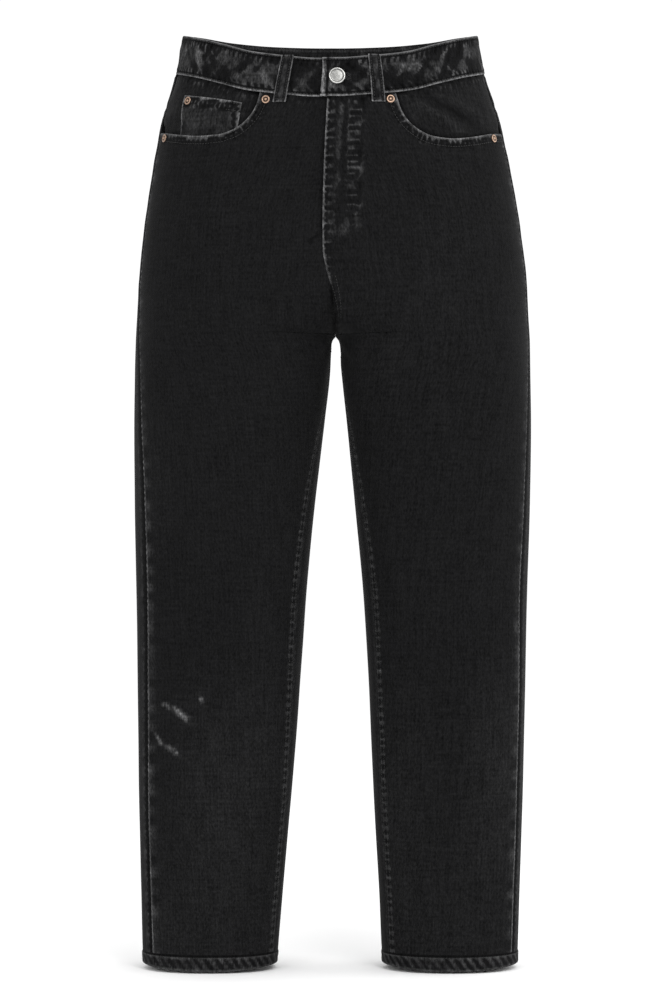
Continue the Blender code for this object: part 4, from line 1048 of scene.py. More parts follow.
def sewFly(panel, tree):
    topZ, bendZ, footZ = -44 * mm, fly["bottomZ"] + 34 * mm, fly["bottomZ"] + 6 * mm
    z = np.arange(topZ, body["crotchZ"] + 12 * mm, -3 * mm)
    sew("fly", onSurface(panel, flyInward(panel, 2.0 * mm, z)), tree)
    z = np.arange(fly["bottomZ"] - 4 * mm, body["crotchZ"] + 12 * mm, -3 * mm)
    sew("fly", onSurface(panel, flyInward(panel, 7.6 * mm, z)), tree)
    for width in (fly["width"] - 2 * mm, fly["width"] - 8.5 * mm):
        turn = np.linspace(0, math.pi / 2, 12)
        inward = np.concatenate([np.full(2, width), 3 * mm + (width - 3 * mm) * np.cos(turn)])
        drop = bendZ - footZ + (fly["width"] - width) * -0.6
        down = np.concatenate([[topZ, bendZ], bendZ - drop * np.sin(turn)])
        line = thinned(np.stack([inward, down], axis=1), 2.5 * mm)
        sew("fly", onSurface(panel, flyInward(panel, line[:, 0], line[:, 1])), tree)


# Back: yoke, seat and patch pockets
back = {
    "yokeSide": 34 * mm,
    "yokeMiddle": 68 * mm,
    "pocketFromMiddle": 46 * mm,
    "pocketTop": 140 * mm,
    "pocketLow": 118 * mm,
    "pocketSide": 128 * mm,
    "pocketPoint": 150 * mm,
    "pocketBelowYoke": 16 * mm,
    "pocketWall": 1.5 * mm,
}


def backPocketRing(panel, topZ):
    halfTop, halfLow = back["pocketTop"] / 2, back["pocketLow"] / 2
    flat = np.array([
        (halfTop, 4 * mm), (-halfTop, -4 * mm), (-halfLow, -back["pocketSide"]), (0.0, -back["pocketPoint"]),
        (halfLow, -back["pocketSide"]), (halfTop, 4 * mm),
    ])
    flat = resampled(flat, 3 * mm)[:-1]
    centre = back["pocketFromMiddle"] + halfTop
    u = 1 - (centre + flat[:, 0]) / float(panel.rowLength(topZ - 50 * mm))
    return panel.plane(u, topZ + flat[:, 1])


def buildBack(side):
    panel = Panel(side, back=True)
    u = np.linspace(-0.02, 1.02, 90)
    share = np.clip(u * (0.65 + 0.35 * ease(u)), 0, 1)
    z = waistSeam(panel, u) - back["yokeSide"] - (back["yokeMiddle"] - back["yokeSide"]) * share
    seam = panel.plane(np.clip(u, 0, 1), z)
    seam[:, 0] = u * body["panelWidth"]
    lower = seam - [0, body["seamGap"]]
    patch = backPocketRing(panel, float(np.interp(0.5, u, z)) - back["pocketBelowYoke"])
    panel.plan = triangulated(panelOutline(panel, 3 * mm), [seam, lower, closedLine(patch)], (2.5 * mm, 3.6 * mm))
    seed = 300 if side == "right" else 400
    seamSpace = onSurface(panel, thinned(seam[3:-3], 5 * mm))
    patchSpace = onSurface(panel, closedLine(patch))

    def relief(yoke):
        def found(points, u, z):
            length = panel.rowLength(z)
            fromSide, fromInner = u * length, (1 - u) * length
            fromWaist = waistSeam(panel, u) - z
            raised = bodyFolds(points)
            blocks = pucker(z, 21 * mm, seed)
            raised = raised - 0.7 * mm * bump(fromSide, 1.5 * mm)
            raised = raised + 0.35 * mm * plateau(fromSide, 1.5 * mm, 9 * mm, 3 * mm)
            fade = 0.05 * plateau(fromSide, 1 * mm, 10 * mm, 5 * mm) * (1 + 0.9 * blocks)
            fade = fade + 0.2 * edgeWear(points, fromSide - 2.0 * mm, 1.1 * mm, seed + 1)
            # painted shade in the side seam's valley
            fade = fade - 0.7 * bump(fromSide, 1.0 * mm)
            raised = raised - 0.6 * mm * bump(fromInner, 1.3 * mm)
            fade = fade + 0.16 * edgeWear(points, fromInner - 0.8 * mm, 1.2 * mm, seed + 3)
            near = z > -180 * mm
            distance, along = np.full(len(u), 1.0), np.zeros(len(u))
            distance[near], along[near] = nearest(points[near], seamSpace)
            rows, waves = sewnEdge(distance, along, 7 * mm, seed + 4, 2 * mm, 8 * mm, 0.3 * mm)
            if yoke:
                rows, waves = rows * 0, waves * 0
            raised = raised + rows - 0.6 * mm * bump(distance, 1.2 * mm)
            # puckers with painted shade in their hollows, and a rubbed edge along the yoke seam
            fade = fade + rubbedAndShaded(waves, 0.14, 0.6) + 0.35 * edgeWear(points, distance - 0.8 * mm, 1.0 * mm, seed + 5)
            waves = pucker(u * length, 8 * mm, seed + 6)
            strip = bump(fromWaist - 4 * mm, 4 * mm)
            raised = raised - 0.8 * mm * bump(fromWaist, 1.6 * mm) + 0.3 * mm * waves * strip
            # puckers with painted shade in their hollows, and a painted shadow under the band's lower edge
            fade = fade + rubbedAndShaded(waves, 0.12, 0.6) * strip - 0.8 * bump(fromWaist, 1.2 * mm)
            if side == "right":
                seat = z > body["crotchZ"] + 5 * mm
                rows, waves = sewnEdge(fromInner, z, 8 * mm, seed + 7, 1.8 * mm, 7.4 * mm, 0.3 * mm)
                raised = raised + rows * seat
                # the seat's double row, with painted shade in its pucker hollows
                fade = fade + rubbedAndShaded(waves, 0.14, 0.6) * seat
            fade = fade + 0.016 * ease((-0.55 - z) / 0.2) + 0.012 * noise(points * [1, 1, 0.4], 60 * mm, 12)
            return raised, np.clip(fade, -1, 1)

        return found

    def patchRelief(points, u, z):
        raised = bodyFolds(points)
        distance, along = nearest(points, patchSpace)
        rows, waves = sewnEdge(distance, along, 6.5 * mm, seed + 8, 2 * mm, 8 * mm, 0.3 * mm)
        raised = raised + rows - 0.45 * mm * bump(distance, 0.9 * mm)
        raised = raised + 0.3 * mm * noise(points, 16 * mm, seed + 9)
        # puckers with painted shade in their hollows, and a rubbed edge
        fade = 0.012 + rubbedAndShaded(waves, 0.2, 0.7) + 0.75 * edgeWear(points, distance - 0.2 * mm, 1.0 * mm, seed + 10)
        return raised, np.clip(fade, -1, 1)

    made = {}
    upper = seam[:, 0], seam[:, 1]
    under = lower[:, 0], lower[:, 1]
    made["yoke"] = panelPiece(
        f"backYoke_{side}", panel, lambda p: p[:, 1] > np.interp(p[:, 0], *upper), constant(-cloth["wall"]),
        constant(0.0), denimFinish, relief(True),
    )
    made["back"] = panelPiece(
        f"backPanel_{side}", panel, lambda p: p[:, 1] < np.interp(p[:, 0], *under), constant(-cloth["wall"]),
        constant(0.0), denimFinish, relief(False),
    )
    made["pocket"] = panelPiece(
        f"backPocket_{side}", panel, lambda p: inside(p, patch), constant(body["seamGap"]),
        constant(body["seamGap"] + back["pocketWall"]), denimFinish, patchRelief,
    )
    tree = treeOf(made["back"])
    outward = 1 if side == "right" else -1
    for d in (2 * mm, 8 * mm):
        sew("back", offsetInSpace(panel, lower[4:-4], outward * -d)[1:-1], tree)
        if side == "right":
            z = np.arange(-112 * mm, body["crotchZ"] + 8 * mm, -3 * mm)
            sew("back", onSurface(panel, flyInward(panel, d - 0.2 * mm, z)), tree)
    tree = treeOf(made["pocket"])
    for d in (2 * mm, 8 * mm):
        ring = insetRing(patchSpace, panel, patch, d)
        sew("back", ring, tree)
    print(f"{side} back made")
    return panel, made


def insetRing(space, panel, ring, distance):
    # the pocket's outline moved in over the surface by a real distance, corners kept sharp
    middlePoint = space.mean(axis=0)
    closed = closedLine(ring)
    points, normals, _, _ = panel.place(closed)
    along = np.roll(points, -1, axis=0) - points
    along[-1] = along[0]
    along /= np.linalg.norm(along, axis=1, keepdims=True)
    inwards = np.cross(normals, along)
    if ((middlePoint - points) * inwards).sum() < 0:
        inwards = -inwards
    moved = points + inwards * distance
    clear = nearest(moved, points)[0] > distance * 0.97
    return moved[clear]


fronts = {side: buildFront(side) for side in sign}
backs = {side: buildBack(side) for side in sign}


# Bands, loops and hems are swept: a closed profile carried along a path
def sweptPiece(name, rings, finish, fade, clothAt, closed=False):
    # rings: stations x profile points x 3
    stations, count = rings.shape[:2]
    faces = []
    last = stations if closed else stations - 1
    for i in range(last):
        a, b = i * count, ((i + 1) % stations) * count
        for j in range(count):
            k = (j + 1) % count
            faces.append((a + j, b + j, b + k, a + k))
    if not closed:
        faces += [tuple(range(count))[::-1], tuple((stations - 1) * count + j for j in range(count))]
    obj = addPiece(name, rings.reshape(-1, 3), faces, finish, fade.ravel(), clothAt.reshape(-1, 3), sharp=60)
    centre = rings.mean(axis=1, keepdims=True)
    normal = np.cross(rings[1, 0] - rings[0, 0], rings[0, 1] - rings[0, 0])
    if normal @ (rings[0, 0] - centre[0, 0]) < 0:
        obj.data.flip_normals()
    return obj


def bandProfile(height, inside, outside, step, round_=0.35):
    # (distance down from the top, offset, how far outside the point lies) round a folded strip
    middleOffset, half = (inside + outside) / 2, (outside - inside) / 2
    turn = np.linspace(0, math.pi, 7)
    down = np.arange(half, height - half * round_, step)
    outer = [(d, outside, 1.0) for d in down]
    foot = [(height, outside - half * round_, 1.0), (height, inside + half * round_, 0.0)]
    inner = [(d, inside, 0.0) for d in down[::-1]]
    top = [(half - half * math.sin(t), middleOffset + half * -math.cos(t), (1 - math.cos(t)) / 2) for t in turn[1:-1]]
    return np.array(outer + foot + inner + top)


bandLook = {
    "step": 1.9 * mm,
    "roping": 0.5 * mm,
    "crumple": 0.75 * mm,
    "base": 0.034,
    "blotches": 0.17,
    "streaks": 0.42,
    # painted shade in the hollows between the slanting creases
    "hollows": 0.6,
    "edges": 1.1,
}


def bandRelief(points, along, down, angle):
    # roping puckers under the top edge, slanting creases and blotchy fading, with painted shade in the hollows and
    # along both stitch rows
    flat = np.stack([along, down, np.zeros(len(along))], axis=1)
    skew = np.stack([along + down * 0.8, down * 0.5, np.zeros(len(along))], axis=1)
    other = np.stack([along - down * 0.9, down * 0.45, np.zeros(len(along))], axis=1)
    slant = noise(skew, 8 * mm, 61) * 0.6 + noise(other, 7 * mm, 62) * 0.5 + noise(flat, 15 * mm, 63) * 0.5
    lines = creases(skew, 13 * mm, 68, 11) * np.clip(noise(flat, 19 * mm, 69) + 0.25, 0, 1)
    lines = lines + creases(other, 12 * mm, 70, 11) * np.clip(noise(flat, 17 * mm, 75) + 0.15, 0, 1)
    behind = ease((1.4 - np.abs(angle - math.pi)) / 0.5)  # fewer creases at the back
    lines, slant = lines * (1 - 0.85 * behind), slant * (1 - 0.45 * behind)
    fromFoot = band["height"] - down
    topWaves = pucker(along + down * 0.35, 6.3 * mm, 64) + 0.5 * noise(flat, 4 * mm, 76)
    topWaves = topWaves * plateau(down, 2 * mm, 9.5 * mm, 5 * mm)
    footWaves = pucker(along - down * 0.4, 7.4 * mm, 65) + 0.5 * noise(flat, 4 * mm, 77)
    footWaves = footWaves * plateau(fromFoot, 2 * mm, 7 * mm, 4 * mm)
    middlePart = plateau(down, 2 * mm, band["height"] - 2 * mm, 5 * mm)
    raised = bandLook["crumple"] * (slant * 0.8 + lines * 0.5) * middlePart
    raised = raised + bandLook["roping"] * (topWaves + footWaves)
    raised = raised - 0.3 * mm * (bump(down - 2.6 * mm, 0.9 * mm) + bump(fromFoot - 2.4 * mm, 0.9 * mm))
    fade = bandLook["base"] + rubbedAndShaded(slant, bandLook["blotches"], bandLook["hollows"]) * middlePart
    fade = fade + bandLook["streaks"] * lines * middlePart
    fade = fade + rubbedAndShaded(topWaves, 0.20, 0.7) + rubbedAndShaded(footWaves, 0.16, 0.7)
    fade = fade + 0.05 * noise(flat, 3.2 * mm, 78)
    fade = fade - 0.5 * (bump(down - 2.8 * mm, 0.8 * mm) + bump(fromFoot - 2.6 * mm, 0.8 * mm))
    edges = edgeWear(points, down - 0.3 * mm, 1.25 * mm, 66)
    edges = edges + edgeWear(points, fromFoot - 0.2 * mm, 1.1 * mm, 67)
    fade = fade + bandLook["edges"] * edges
    return raised, fade


def slantOf(along, down):
    return noise(np.stack([along + down * 0.7, down * 0.6, np.zeros(np.shape(along))], axis=-1), 7 * mm, 80)


def buildWaistband():
    start, end = angleAtX(band["lapStart"], -21.8 * mm), 2 * math.pi + angleAtX(band["lapEnd"], -21.8 * mm)
    count = round((end - start) * band["radius"] / bandLook["step"])
    angles = np.linspace(start, end, count)
    profile = bandProfile(band["height"], band["inside"], band["outside"], bandLook["step"])
    top = waistTop((angles + math.pi) % (2 * math.pi) - math.pi)
    endShape = 0.8 * mm * np.sin(profile[:, 0] / band["height"] * math.pi * 1.3)
    angleGrid = np.broadcast_to(angles[:, None], (count, len(profile))).copy()
    angleGrid[0] += endShape / band["radius"]
    z = top[:, None] - profile[None, :, 0]
    points, normals = waistPlace(angleGrid, z)
    along = angleGrid * band["radius"]
    down = np.broadcast_to(profile[None, :, 0], z.shape)
    raised, fade = bandRelief(points.reshape(-1, 3), along.ravel(), down.ravel(), angleGrid.ravel())
    raised, fade = raised.reshape(z.shape), fade.reshape(z.shape)
    outside = profile[None, :, 2]
    calm = ease((angles - start) * band["radius"] / (5 * mm)) * ease((end - angles) * band["radius"] / (5 * mm))
    near = ease((np.abs(angles * band["radius"] - 9 * mm) - 6 * mm) / (8 * mm))  # flat round the buttonhole
    raised = raised * (calm * (0.4 + 0.6 * near))[:, None] * (0.25 + 0.75 * outside)
    # the lapped end: a worn fold, and a painted shade line just inside it
    fromEnd = (angleGrid - start) * band["radius"]
    fold = bump(fromEnd - 1.5 * mm, 2.0 * mm) * (0.5 + 0.5 * ease((profile[None, :, 0] - 26 * mm) / (8 * mm)))
    fade = fade + 0.62 * fold * (fromEnd < 12 * mm) + 0.25 * plateau(fromEnd, 0, 4.2 * mm, 1.5 * mm)
    worn = edgeWear(points.reshape(-1, 3), fromEnd.ravel() - 0.4 * mm, 0.9 * mm, 79)
    fade = fade + 0.5 * worn.reshape(z.shape)
    fade = fade - 0.6 * bump(fromEnd - 5.4 * mm, 0.9 * mm)
    covered = ((end - angleGrid) * band["radius"] < band["lapEnd"] - band["lapStart"]) & (outside > 0)
    hidden = 0.022 + 0.13 * np.clip(slantOf(along, down), 0, 1) + 0.14 * bump(down - 3 * mm, 0.8 * mm)
    fade = np.where(outside > 0.5, fade, hidden) * np.where(covered, 0.8, 1.0)
    offset = profile[None, :, 1] + lapLift(angles)[:, None] + raised
    rings = points + normals * offset[..., None]
    clothAt = np.stack([along, z, np.full(z.shape, 3.3) + outside * 1.7], axis=-1)
    obj = sweptPiece("waistbandStrip", rings, denimFinish, np.clip(fade, -1, 1.2), clothAt)
    cutButtonhole(obj)
    tree = treeOf(obj)
    margin = 3 * mm / band["radius"]
    sewAngles = np.arange(start + margin, end - margin, 2.5 * mm / band["radius"])
    topZ = waistTop((sewAngles + math.pi) % (2 * math.pi) - math.pi)
    for down in (2.4 * mm, band["height"] - 2.2 * mm):
        p, n = waistPlace(sewAngles, topZ - down)
        sew("waistband", p + n * (band["outside"] + lapLift(sewAngles))[:, None], tree)
    downs = np.arange(3 * mm, band["height"] - 3 * mm, 2.5 * mm)
    p, n = waistPlace(np.full(len(downs), start + 3.2 * mm / band["radius"]), waistTop(start) - downs)
    sew("waistband", p + n * (band["outside"] + band["lapLift"]), tree)
    print("waistband made")
    return obj, tree


buttonAt = {
    "x": 7.2 * mm, "z": -21.8 * mm, "radius": 8.4 * mm,
    "stand": 1.0 * mm, "shank": 1.7 * mm, "hole": (17 * mm, 4.6 * mm),
}


def facingMatrix(point, normal):
    out = Vector(normal)
    across = Vector((0, 0, 1)).cross(out).normalized()
    turn = Matrix((across, out.cross(across), out)).transposed().to_4x4()
    return Matrix.Translation(Vector(point)) @ turn


def buttonFrame():
    return facingMatrix(*waistPlace(angleAtX(buttonAt["x"], buttonAt["z"]), buttonAt["z"]))


def slotOutline(grow=0.0):
    length, width = buttonAt["hole"]
    half, radius = length / 2 - width / 2, width / 2 + grow
    shift = half - 2.2 * mm
    turns = [math.radians(start + 15 * k) for start in (-90, 90) for k in range(13)]
    centres = [half] * 13 + [-half] * 13
    return [(shift + c + radius * math.cos(a), radius * math.sin(a)) for a, c in zip(turns, centres)]


def cutButtonhole(obj):
    low, high = band["outside"] + 0.2 * mm, band["outside"] + band["lapLift"] + 3 * mm
    ring = slotOutline()
    n = len(ring)
    points = [(x, y, low) for x, y in ring] + [(x, y, high) for x, y in ring]
    faces = [tuple(range(n))[::-1], tuple(range(n, 2 * n))]
    faces += [(k, (k + 1) % n, n + (k + 1) % n, n + k) for k in range(n)]
    cutter = addPiece("slotCutter", points, faces, denimFinish)
    cutter.matrix_world = buttonFrame()
    bpy.context.view_layer.update()
    cut = obj.modifiers.new("slot", "BOOLEAN")
    cut.operation, cut.solver, cut.object = "DIFFERENCE", "EXACT", cutter
    done = bpy.data.meshes.new_from_object(obj.evaluated_get(bpy.context.evaluated_depsgraph_get()))
    obj.modifiers.clear()
    obj.data = done
    bpy.data.objects.remove(cutter)


waistbandPiece, waistbandTree = buildWaistband()

# Belt loops: angle round the waist at the top and the foot, in degrees
Loop = namedtuple("Loop", "name node top foot")
loopTable = (
    Loop("beltLoop_frontRight", "belt_loop_front_right", -15.2, -16.5),
    Loop("beltLoop_frontLeft", "belt_loop_front_left", 16.5, 17.0),
    Loop("beltLoop_sideRight", "belt_loop_side_right", -116, -116),
    Loop("beltLoop_sideLeft", "belt_loop_side_left", 116, 116),
    Loop("beltLoop_back", "belt_loop_back", 180, 180),
)
loopLook = {
    "width": 12.6 * mm, "wall": 1.8 * mm, "below": 8 * mm,
    "bulge": 2.6 * mm, "edgeLight": 0.85, "fade": 0.035,
}


def buildLoop(loop):
    end = band["height"] + loopLook["below"]
    drops = np.linspace(0, end, 36)
    shares = drops / end
    top, foot = math.radians(loop.top), math.radians(loop.foot)
    half, wall = loopLook["width"] / 2, loopLook["wall"]
    sides = np.linspace(-1, 1, 13)
    profile = [(s * (half - 0.5 * mm), wall, 1.0) for s in sides]
    profile += [(half - 0.1 * mm, wall * 0.8, 1), (half, wall * 0.5, 1), (half - 0.1 * mm, wall * 0.2, 0.5)]
    profile += [(s * (half - 0.5 * mm), 0.0, 0.0) for s in sides[::-1]]
    profile += [(-half + 0.1 * mm, wall * 0.2, 0.5), (-half, wall * 0.5, 1), (-half + 0.1 * mm, wall * 0.8, 1)]
    profile = np.array(profile)
    angle = (top + (foot - top) * shares)[:, None] + profile[None, :, 0] / band["radius"]
    z = np.broadcast_to((float(waistTop(top)) - drops)[:, None], angle.shape)
    onBand = band["outside"] + 0.45 * mm + np.where(angle > 0, lapLift(angle), 0.0)
    settle = ease((end - 0.5 * mm - drops) / (loopLook["below"] - 1.1 * mm))[:, None]
    bulge = loopLook["bulge"] * np.sin(np.pi * np.clip((shares - 0.04) / 0.86, 0, 1)) ** 1.5
    stand = 0.6 * mm + (onBand - 0.6 * mm) * settle + bulge[:, None]
    points, normals = waistPlace(angle, z)
    across = np.broadcast_to(profile[None, :, 0], z.shape)
    flat = points.reshape(-1, 3)
    edge = (half - np.abs(across)).ravel()
    ends = np.minimum(drops, end - drops)[:, None] * np.ones(z.shape)
    relief = 0.2 * mm * noise(flat, 4 * mm, 71) - 0.25 * mm * bump(edge - 2.3 * mm, 0.8 * mm)
    fade = loopLook["fade"] + 0.12 * noise(flat, 4 * mm, 72)
    fade = fade + loopLook["edgeLight"] * edgeWear(flat, edge, 1.0 * mm, 73)
    # rubbed ends, and painted shade along the stitch rows
    fade = fade + 0.8 * edgeWear(flat, ends.ravel(), 1.1 * mm, 74) - 0.6 * bump(edge - 2.4 * mm, 0.8 * mm)
    fade = fade + 0.06 * bump(np.abs(across.ravel()), 1.6 * mm)
    rings = points + normals * (stand + profile[None, :, 1] + relief.reshape(z.shape) * profile[None, :, 2])[..., None]
    clothAt = np.stack([across, z, np.full(z.shape, hashOf(loop.name))], axis=-1)
    fade = np.clip(fade, -1, 1.1).reshape(z.shape) * np.clip(profile[None, :, 2] + 0.2, 0, 1)
    obj = sweptPiece(loop.name, rings, denimFinish, fade, clothAt)
    tree = treeOf(obj)
    for column in (2, 10):
        sew("loops", rings[2:-2, column], tree)
    for station in (2, 33):
        for shift in (-0.5 * mm, 0.5 * mm):
            sew("tacks", rings[station, 1:12] + [0, 0, shift], tree)
    return obj


loops = [buildLoop(loop) for loop in loopTable]
print("belt loops made")


def buildHem(side):
    phi = np.linspace(0, 2 * math.pi, 181)[:-1]
    profile = bandProfile(1.0, hem["inside"], hem["outside"], 0.07)
    height = hem["height"]
    half = (hem["outside"] - hem["inside"]) / 2
    turn = np.linspace(0, math.pi, 7)[1:-1]
    ups = np.linspace(half, height, 11)
    outer = [(up, hem["outside"], 1.0) for up in ups[::-1]]
    centre = (hem["outside"] + hem["inside"]) / 2
    foot = [(half - half * math.sin(t), centre + half * math.cos(t), (1 + math.cos(t)) / 2) for t in turn]
    profile = np.array(outer + foot + [(up, hem["inside"], 0.0) for up in ups])
    base = hem["z"] - hem["dip"] * np.sin(phi) ** 2
    share = profile[None, :, 0] / height
    z = base[:, None] + (hem["z"] + height - base)[:, None] * share
    grid = np.broadcast_to(phi[:, None], z.shape)
    points, normals = surface(side, grid, z), surfaceNormal(side, grid, z)
    ringLength = np.linalg.norm(np.diff(surface(side, phi, base), axis=0), axis=1)
    along = np.broadcast_to(np.concatenate([[0], np.cumsum(ringLength)])[:, None], z.shape)
    flat = points.reshape(-1, 3)
    up = np.broadcast_to(profile[None, :, 0], z.shape).ravel()
    slanted = along.ravel() + up * 0.9 * sign[side]
    total = float(along.max())
    waves = pucker(slanted, total / round(total / (9.5 * mm)), 81) * plateau(up, 1.5 * mm, height - 2.5 * mm, 4 * mm)
    raised = hem["roping"] * waves + 0.25 * mm * noise(flat, 8 * mm, 82) - 0.5 * mm * bump(height - up, 1.4 * mm)
    raised = raised + bodyFolds(flat)
    # puckers with painted shade in their hollows, and a rubbed foot edge
    fade = 0.045 + rubbedAndShaded(waves, 0.13, 0.18) + 0.32 * edgeWear(flat, up - 0.5 * mm, 1.2 * mm, 83)
    fade = fade + 0.05 * noise(flat, 7 * mm, 84)
    fade = fade + 0.30 * edgeWear(flat, height - up - 2.6 * mm, 1.0 * mm, 85)
    # painted shade along the hem's upper edge
    fade = fade - 0.8 * bump(height - up - 1.0 * mm, 0.9 * mm)
    outside = profile[None, :, 2]
    rings = points + normals * (profile[None, :, 1] + raised.reshape(z.shape) * (0.3 + 0.7 * outside))[..., None]
    clothAt = np.stack([along, z, np.full(z.shape, hashOf(side))], axis=-1)
    fade = np.clip(fade, -1, 1).reshape(z.shape) * (0.3 + 0.7 * outside)
    obj = sweptPiece(f"legHem_{side}", rings, denimFinish, fade, clothAt, closed=True)
    tree = treeOf(obj)
    row = [k for k, p in enumerate(profile) if p[2] == 1.0 and p[0] > height - 3.2 * mm][-1]
    sew("hems", np.concatenate([rings[:, row], rings[:1, row]]), tree)
    return obj


hems = {side: buildHem(side) for side in sign}
print("hems made")

# Sewing: every row becomes single stitches that dip into the cloth at both ends
stitch = {
    "waistband": (3.1 * mm, 0.30 * mm),
    "loops": (3.0 * mm, 0.28 * mm),
    "tacks": (1.1 * mm, 0.30 * mm),
    "pocket": (3.1 * mm, 0.30 * mm),
    "fly": (3.1 * mm, 0.30 * mm),
    "leg": (3.3 * mm, 0.28 * mm),
    "back": (3.2 * mm, 0.30 * mm),
    "hems": (3.4 * mm, 0.30 * mm),
    "buttonhole": (1.4 * mm, 0.25 * mm),
}


def stitchAlong(points, normals, pitch, radius, made, faces):
    along = np.concatenate([[0], np.cumsum(np.linalg.norm(np.diff(points, axis=0), axis=1))])
    count = int(along[-1] / pitch)
    if count < 1:
        return
    sides = 5
    starts = np.arange(count) * pitch
    marks = (0.04, 0.2, 0.5, 0.8, 0.96)
    sizes = (0.25, 0.9, 1.0, 0.9, 0.25)
    sunk = (-0.9, 0.1, 0.45, 0.1, -0.9)
    for s in starts:
        rings = []
        for mark, size, low in zip(marks, sizes, sunk):
            at = s + mark * pitch * 0.92
            p = np.array([np.interp(at, along, points[:, k]) for k in range(3)])
            n = np.array([np.interp(at, along, normals[:, k]) for k in range(3)])
            rings.append((p + n * radius * low, n, size))
        direction = rings[-1][0] - rings[0][0]
        direction /= np.linalg.norm(direction)
        first = len(made)
        for p, n, size in rings:
            sideways = np.cross(direction, n)
            sideways /= np.linalg.norm(sideways)
            for k in range(sides):
                a = 2 * math.pi * k / sides
                made.append(p + (sideways * math.cos(a) + n * math.sin(a)) * radius * size)
        for i in range(len(marks) - 1):
            for k in range(sides):
                a, b = first + i * sides + k, first + i * sides + (k + 1) % sides
                faces.append((a, b, b + sides, a + sides))
        faces.append(tuple(first + k for k in range(sides))[::-1])
        faces.append(tuple(first + (len(marks) - 1) * sides + k for k in range(sides)))


def buttonholeStitches():
    frame_ = buttonFrame()
    outer, inner = slotOutline(1.7 * mm), slotOutline(0.1 * mm)
    lines = []
    for grown in (0.35 * mm, 1.0 * mm, 1.6 * mm):
        ring = [frame_ @ Vector((x, y, band["outside"] + band["lapLift"])) for x, y in slotOutline(grown)]
        lines.append(thinned(np.array([tuple(p) for p in ring] + [tuple(ring[0])]), 1 * mm))
    return lines


for line in buttonholeStitches():
    sew("buttonhole", line, waistbandTree)
threads = []
for group, (pitch, radius) in stitch.items():
    made, faces = [], []
    for g, points, tree in stitchLines:
        if g != group or len(points) < 2:
            continue
        points = thinned(points, 1.2 * mm)
        hits = [tree.find_nearest(Vector(p)) for p in points]
        onCloth = np.array([tuple(h[0]) for h in hits])
        normals = np.array([tuple(h[1]) for h in hits])
        stitchAlong(onCloth, normals, pitch, radius, made, faces)
    threads.append(addPiece(f"stitching_{group}", made, faces, threadFinish))
print("sewing made:", sum(len(t.data.polygons) for t in threads), "faces")


def turned(name, profile, place, sides, finish):
    # profile rows are (radius, height, how rubbed)
    points, faces, rings, shine = [], [], [], []
    for radius, height, bright in profile:
        count = 1 if radius == 0 else sides
        rings.append(list(range(len(points), len(points) + count)))
        turns = [2 * math.pi * k / sides for k in range(count)]
        points += [(radius * math.cos(t), radius * math.sin(t), height) for t in turns]
        shine += [bright] * count
    for low, high in zip(rings, rings[1:]):
        for k in range(sides):
            n = (k + 1) % sides
            if len(low) == 1:
                faces.append((low[0], high[n], high[k]))
            elif len(high) == 1:
                faces.append((low[k], low[n], high[0]))
            else:
                faces.append((low[k], low[n], high[n], high[k]))
    obj = addPiece(name, points, faces, finish, fade=shine, sharp=38)
    obj.data.transform(place)
    return obj


def buildButton():
    foot = band["outside"] + body["seamGap"]
    head = band["outside"] + band["lapLift"] + buttonAt["stand"]
    r, s = buttonAt["radius"], buttonAt["shank"]
    profile = [(0, foot, 0.2), (s, foot, 0.2), (s, head, 0.2), (r * 0.86, head, 0.2), (r * 0.97, head + 0.3 * mm, 0.3)]
    profile += [(r, head + 0.8 * mm, 0.5), (r * 0.985, head + 1.3 * mm, 0.75), (r * 0.94, head + 1.75 * mm, 1.0)]
    profile += [(r * 0.88, head + 1.9 * mm, 0.9), (r * 0.83, head + 1.8 * mm, 0.4), (r * 0.79, head + 1.45 * mm, 0.0)]
    profile += [(r * 0.74, head + 1.3 * mm, 0.2), (r * 0.6, head + 1.42 * mm, 0.42)]
    profile += [(r * 0.3, head + 1.6 * mm, 0.36), (0, head + 1.65 * mm, 0.36)]
    return turned("jeansButton", profile, buttonFrame(), 64, steelFinish)


# Rivets: side, x and z in mm
Rivet = namedtuple("Rivet", "name node side x z")
rivetTable = (
    Rivet("rivetCap_rightInner", "rivet_right_inner", "right", -64.9, -44.4),
    Rivet("rivetCap_rightOuter", "rivet_right_outer", "right", -170.0, -77.5),
    Rivet("rivetCap_leftInner", "rivet_left_inner", "left", 61.4, -43.8),
    Rivet("rivetCap_leftOuter", "rivet_left_outer", "left", 168.0, -78.5),
    Rivet("rivetCap_coin", "rivet_coin_pocket", "right", -144.2, -42.0),
)


def buildRivet(rivet):
    r = 4.3 * mm
    profile = [(0, -0.3 * mm, 0.1), (r, -0.3 * mm, 0.1), (r, 0.4 * mm, 0.4), (r * 0.96, 0.75 * mm, 0.7), (r * 0.86, 1.0 * mm, 0.95)]
    profile += [(r * 0.74, 1.05 * mm, 0.9), (r * 0.66, 0.9 * mm, 0.6), (r * 0.58, 0.5 * mm, 0.03), (r * 0.4, 0.45 * mm, 0.03)]
    profile += [(r * 0.34, 0.8 * mm, 0.4), (r * 0.26, 1.25 * mm, 0.8), (r * 0.13, 1.45 * mm, 0.9), (0, 1.5 * mm, 0.9)]
    z, x = np.array([rivet.z * mm]), np.array([rivet.x * mm])
    phi = phiAtX(rivet.side, x, z)
    lift = 0.55 * mm
    if rivet.name.endswith("coin"):
        panel = fronts["right"][0]
        depth = facingDepth(panel, mouthLine("right", panel), pocket["depth"]["right"])
        lift += body["seamGap"] + cloth["thin"] - float(depth(panel.shareAt(phi, z), z)[0])
    normal = surfaceNormal(rivet.side, phi, z)[0]
    place = facingMatrix(surface(rivet.side, phi, z)[0] + normal * lift, normal)
    return turned(rivet.name, profile, place, 40, copperFinish)


buttonPiece = buildButton()
rivets = [buildRivet(rivet) for rivet in rivetTable]
print("button and rivets made")

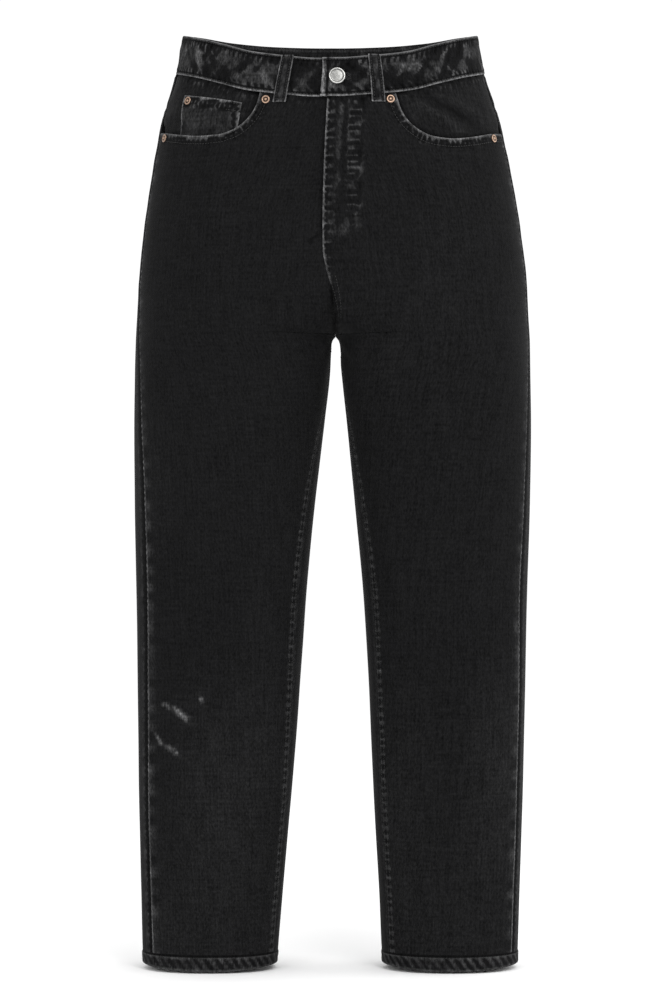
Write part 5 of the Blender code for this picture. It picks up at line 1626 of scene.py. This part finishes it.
# What each piece stands for
standIn = [(waistbandPiece, "waistband"), (buttonPiece, "button")]
standIn += [(obj, loop.node) for obj, loop in zip(loops, loopTable)]
standIn += [(obj, rivet.node) for obj, rivet in zip(rivets, rivetTable)]
for side in sign:
    made = fronts[side][1]
    standIn += [(made["front"], f"front_{side}"), (made["facing"], f"pocket_facing_{side}")]
    standIn += [(hems[side], f"hem_{side}")]
    made = backs[side][1]
    standIn += [(made["yoke"], f"yoke_{side}"), (made["back"], f"back_{side}"), (made["pocket"], f"back_pocket_{side}")]
standIn += [(fronts["right"][1]["coin"], "coin_pocket"), (fronts["left"][1]["fly"], "fly_facing")]
for obj, node in standIn:
    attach(obj, "root")
    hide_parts(node)
for obj in threads:
    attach(obj, "root")


# Floor, lights and camera
stageLook = {"floorZ": -936.2 * mm, "floor": 0.96, "world": 1.06, "key": 26.0, "fill": 16.0, "side": 22.0}
camera = {"distance": 3.5, "x": 6.2 * mm, "z": -454.2 * mm, "lens": 120.2}

floorMesh = bpy.data.meshes.new("floor")
floorMesh.from_pydata([(-30, -30, 0), (30, -30, 0), (30, 30, 0), (-30, 30, 0)], [], [(0, 1, 2, 3)])
floor = bpy.data.objects.new("floor", floorMesh)
floor.location.z = stageLook["floorZ"]
bpy.context.scene.collection.objects.link(floor)
paper = makePlain("paper", {"colour": (stageLook["floor"],) * 3, "roughness": 0.95})
paper.node_tree.nodes["Principled BSDF"].inputs["Specular IOR Level"].default_value = 0.0
floorMesh.materials.append(paper)

world = bpy.data.worlds.new("studio")
bpy.context.scene.world = world
world.use_nodes = True
world.node_tree.nodes["Background"].inputs[0].default_value = (1, 1, 1, 1)
world.node_tree.nodes["Background"].inputs[1].default_value = stageLook["world"]


def areaLight(name, place, target, size, power):
    data = bpy.data.lights.new(name, "AREA")
    data.shape, data.size, data.energy = "DISK", size, power
    light = bpy.data.objects.new(name, data)
    light.location = place
    light.rotation_euler = (Vector(target) - Vector(place)).to_track_quat("-Z", "Y").to_euler()
    bpy.context.scene.collection.objects.link(light)
    return light


areaLight("keyLight", (0.9, -2.2, 1.3), (0, 0, -0.35), 1.2, stageLook["key"])
areaLight("fillLight", (-1.4, -2.6, 0.4), (0, 0, -0.5), 1.6, stageLook["fill"])
areaLight("sideLight", (2.4, 0.2, 0.2), (0, 0, -0.5), 1.6, stageLook["side"])

view = bpy.data.cameras.new("view")
view.lens, view.sensor_width = camera["lens"], 36.0
viewer = bpy.data.objects.new("view", view)
viewer.location = (camera["x"], -camera["distance"], camera["z"])
viewer.rotation_euler = (math.radians(90), 0, 0)
bpy.context.scene.collection.objects.link(viewer)
bpy.context.scene.camera = viewer
bpy.context.scene.view_settings.view_transform = "Standard"
print("stage made")
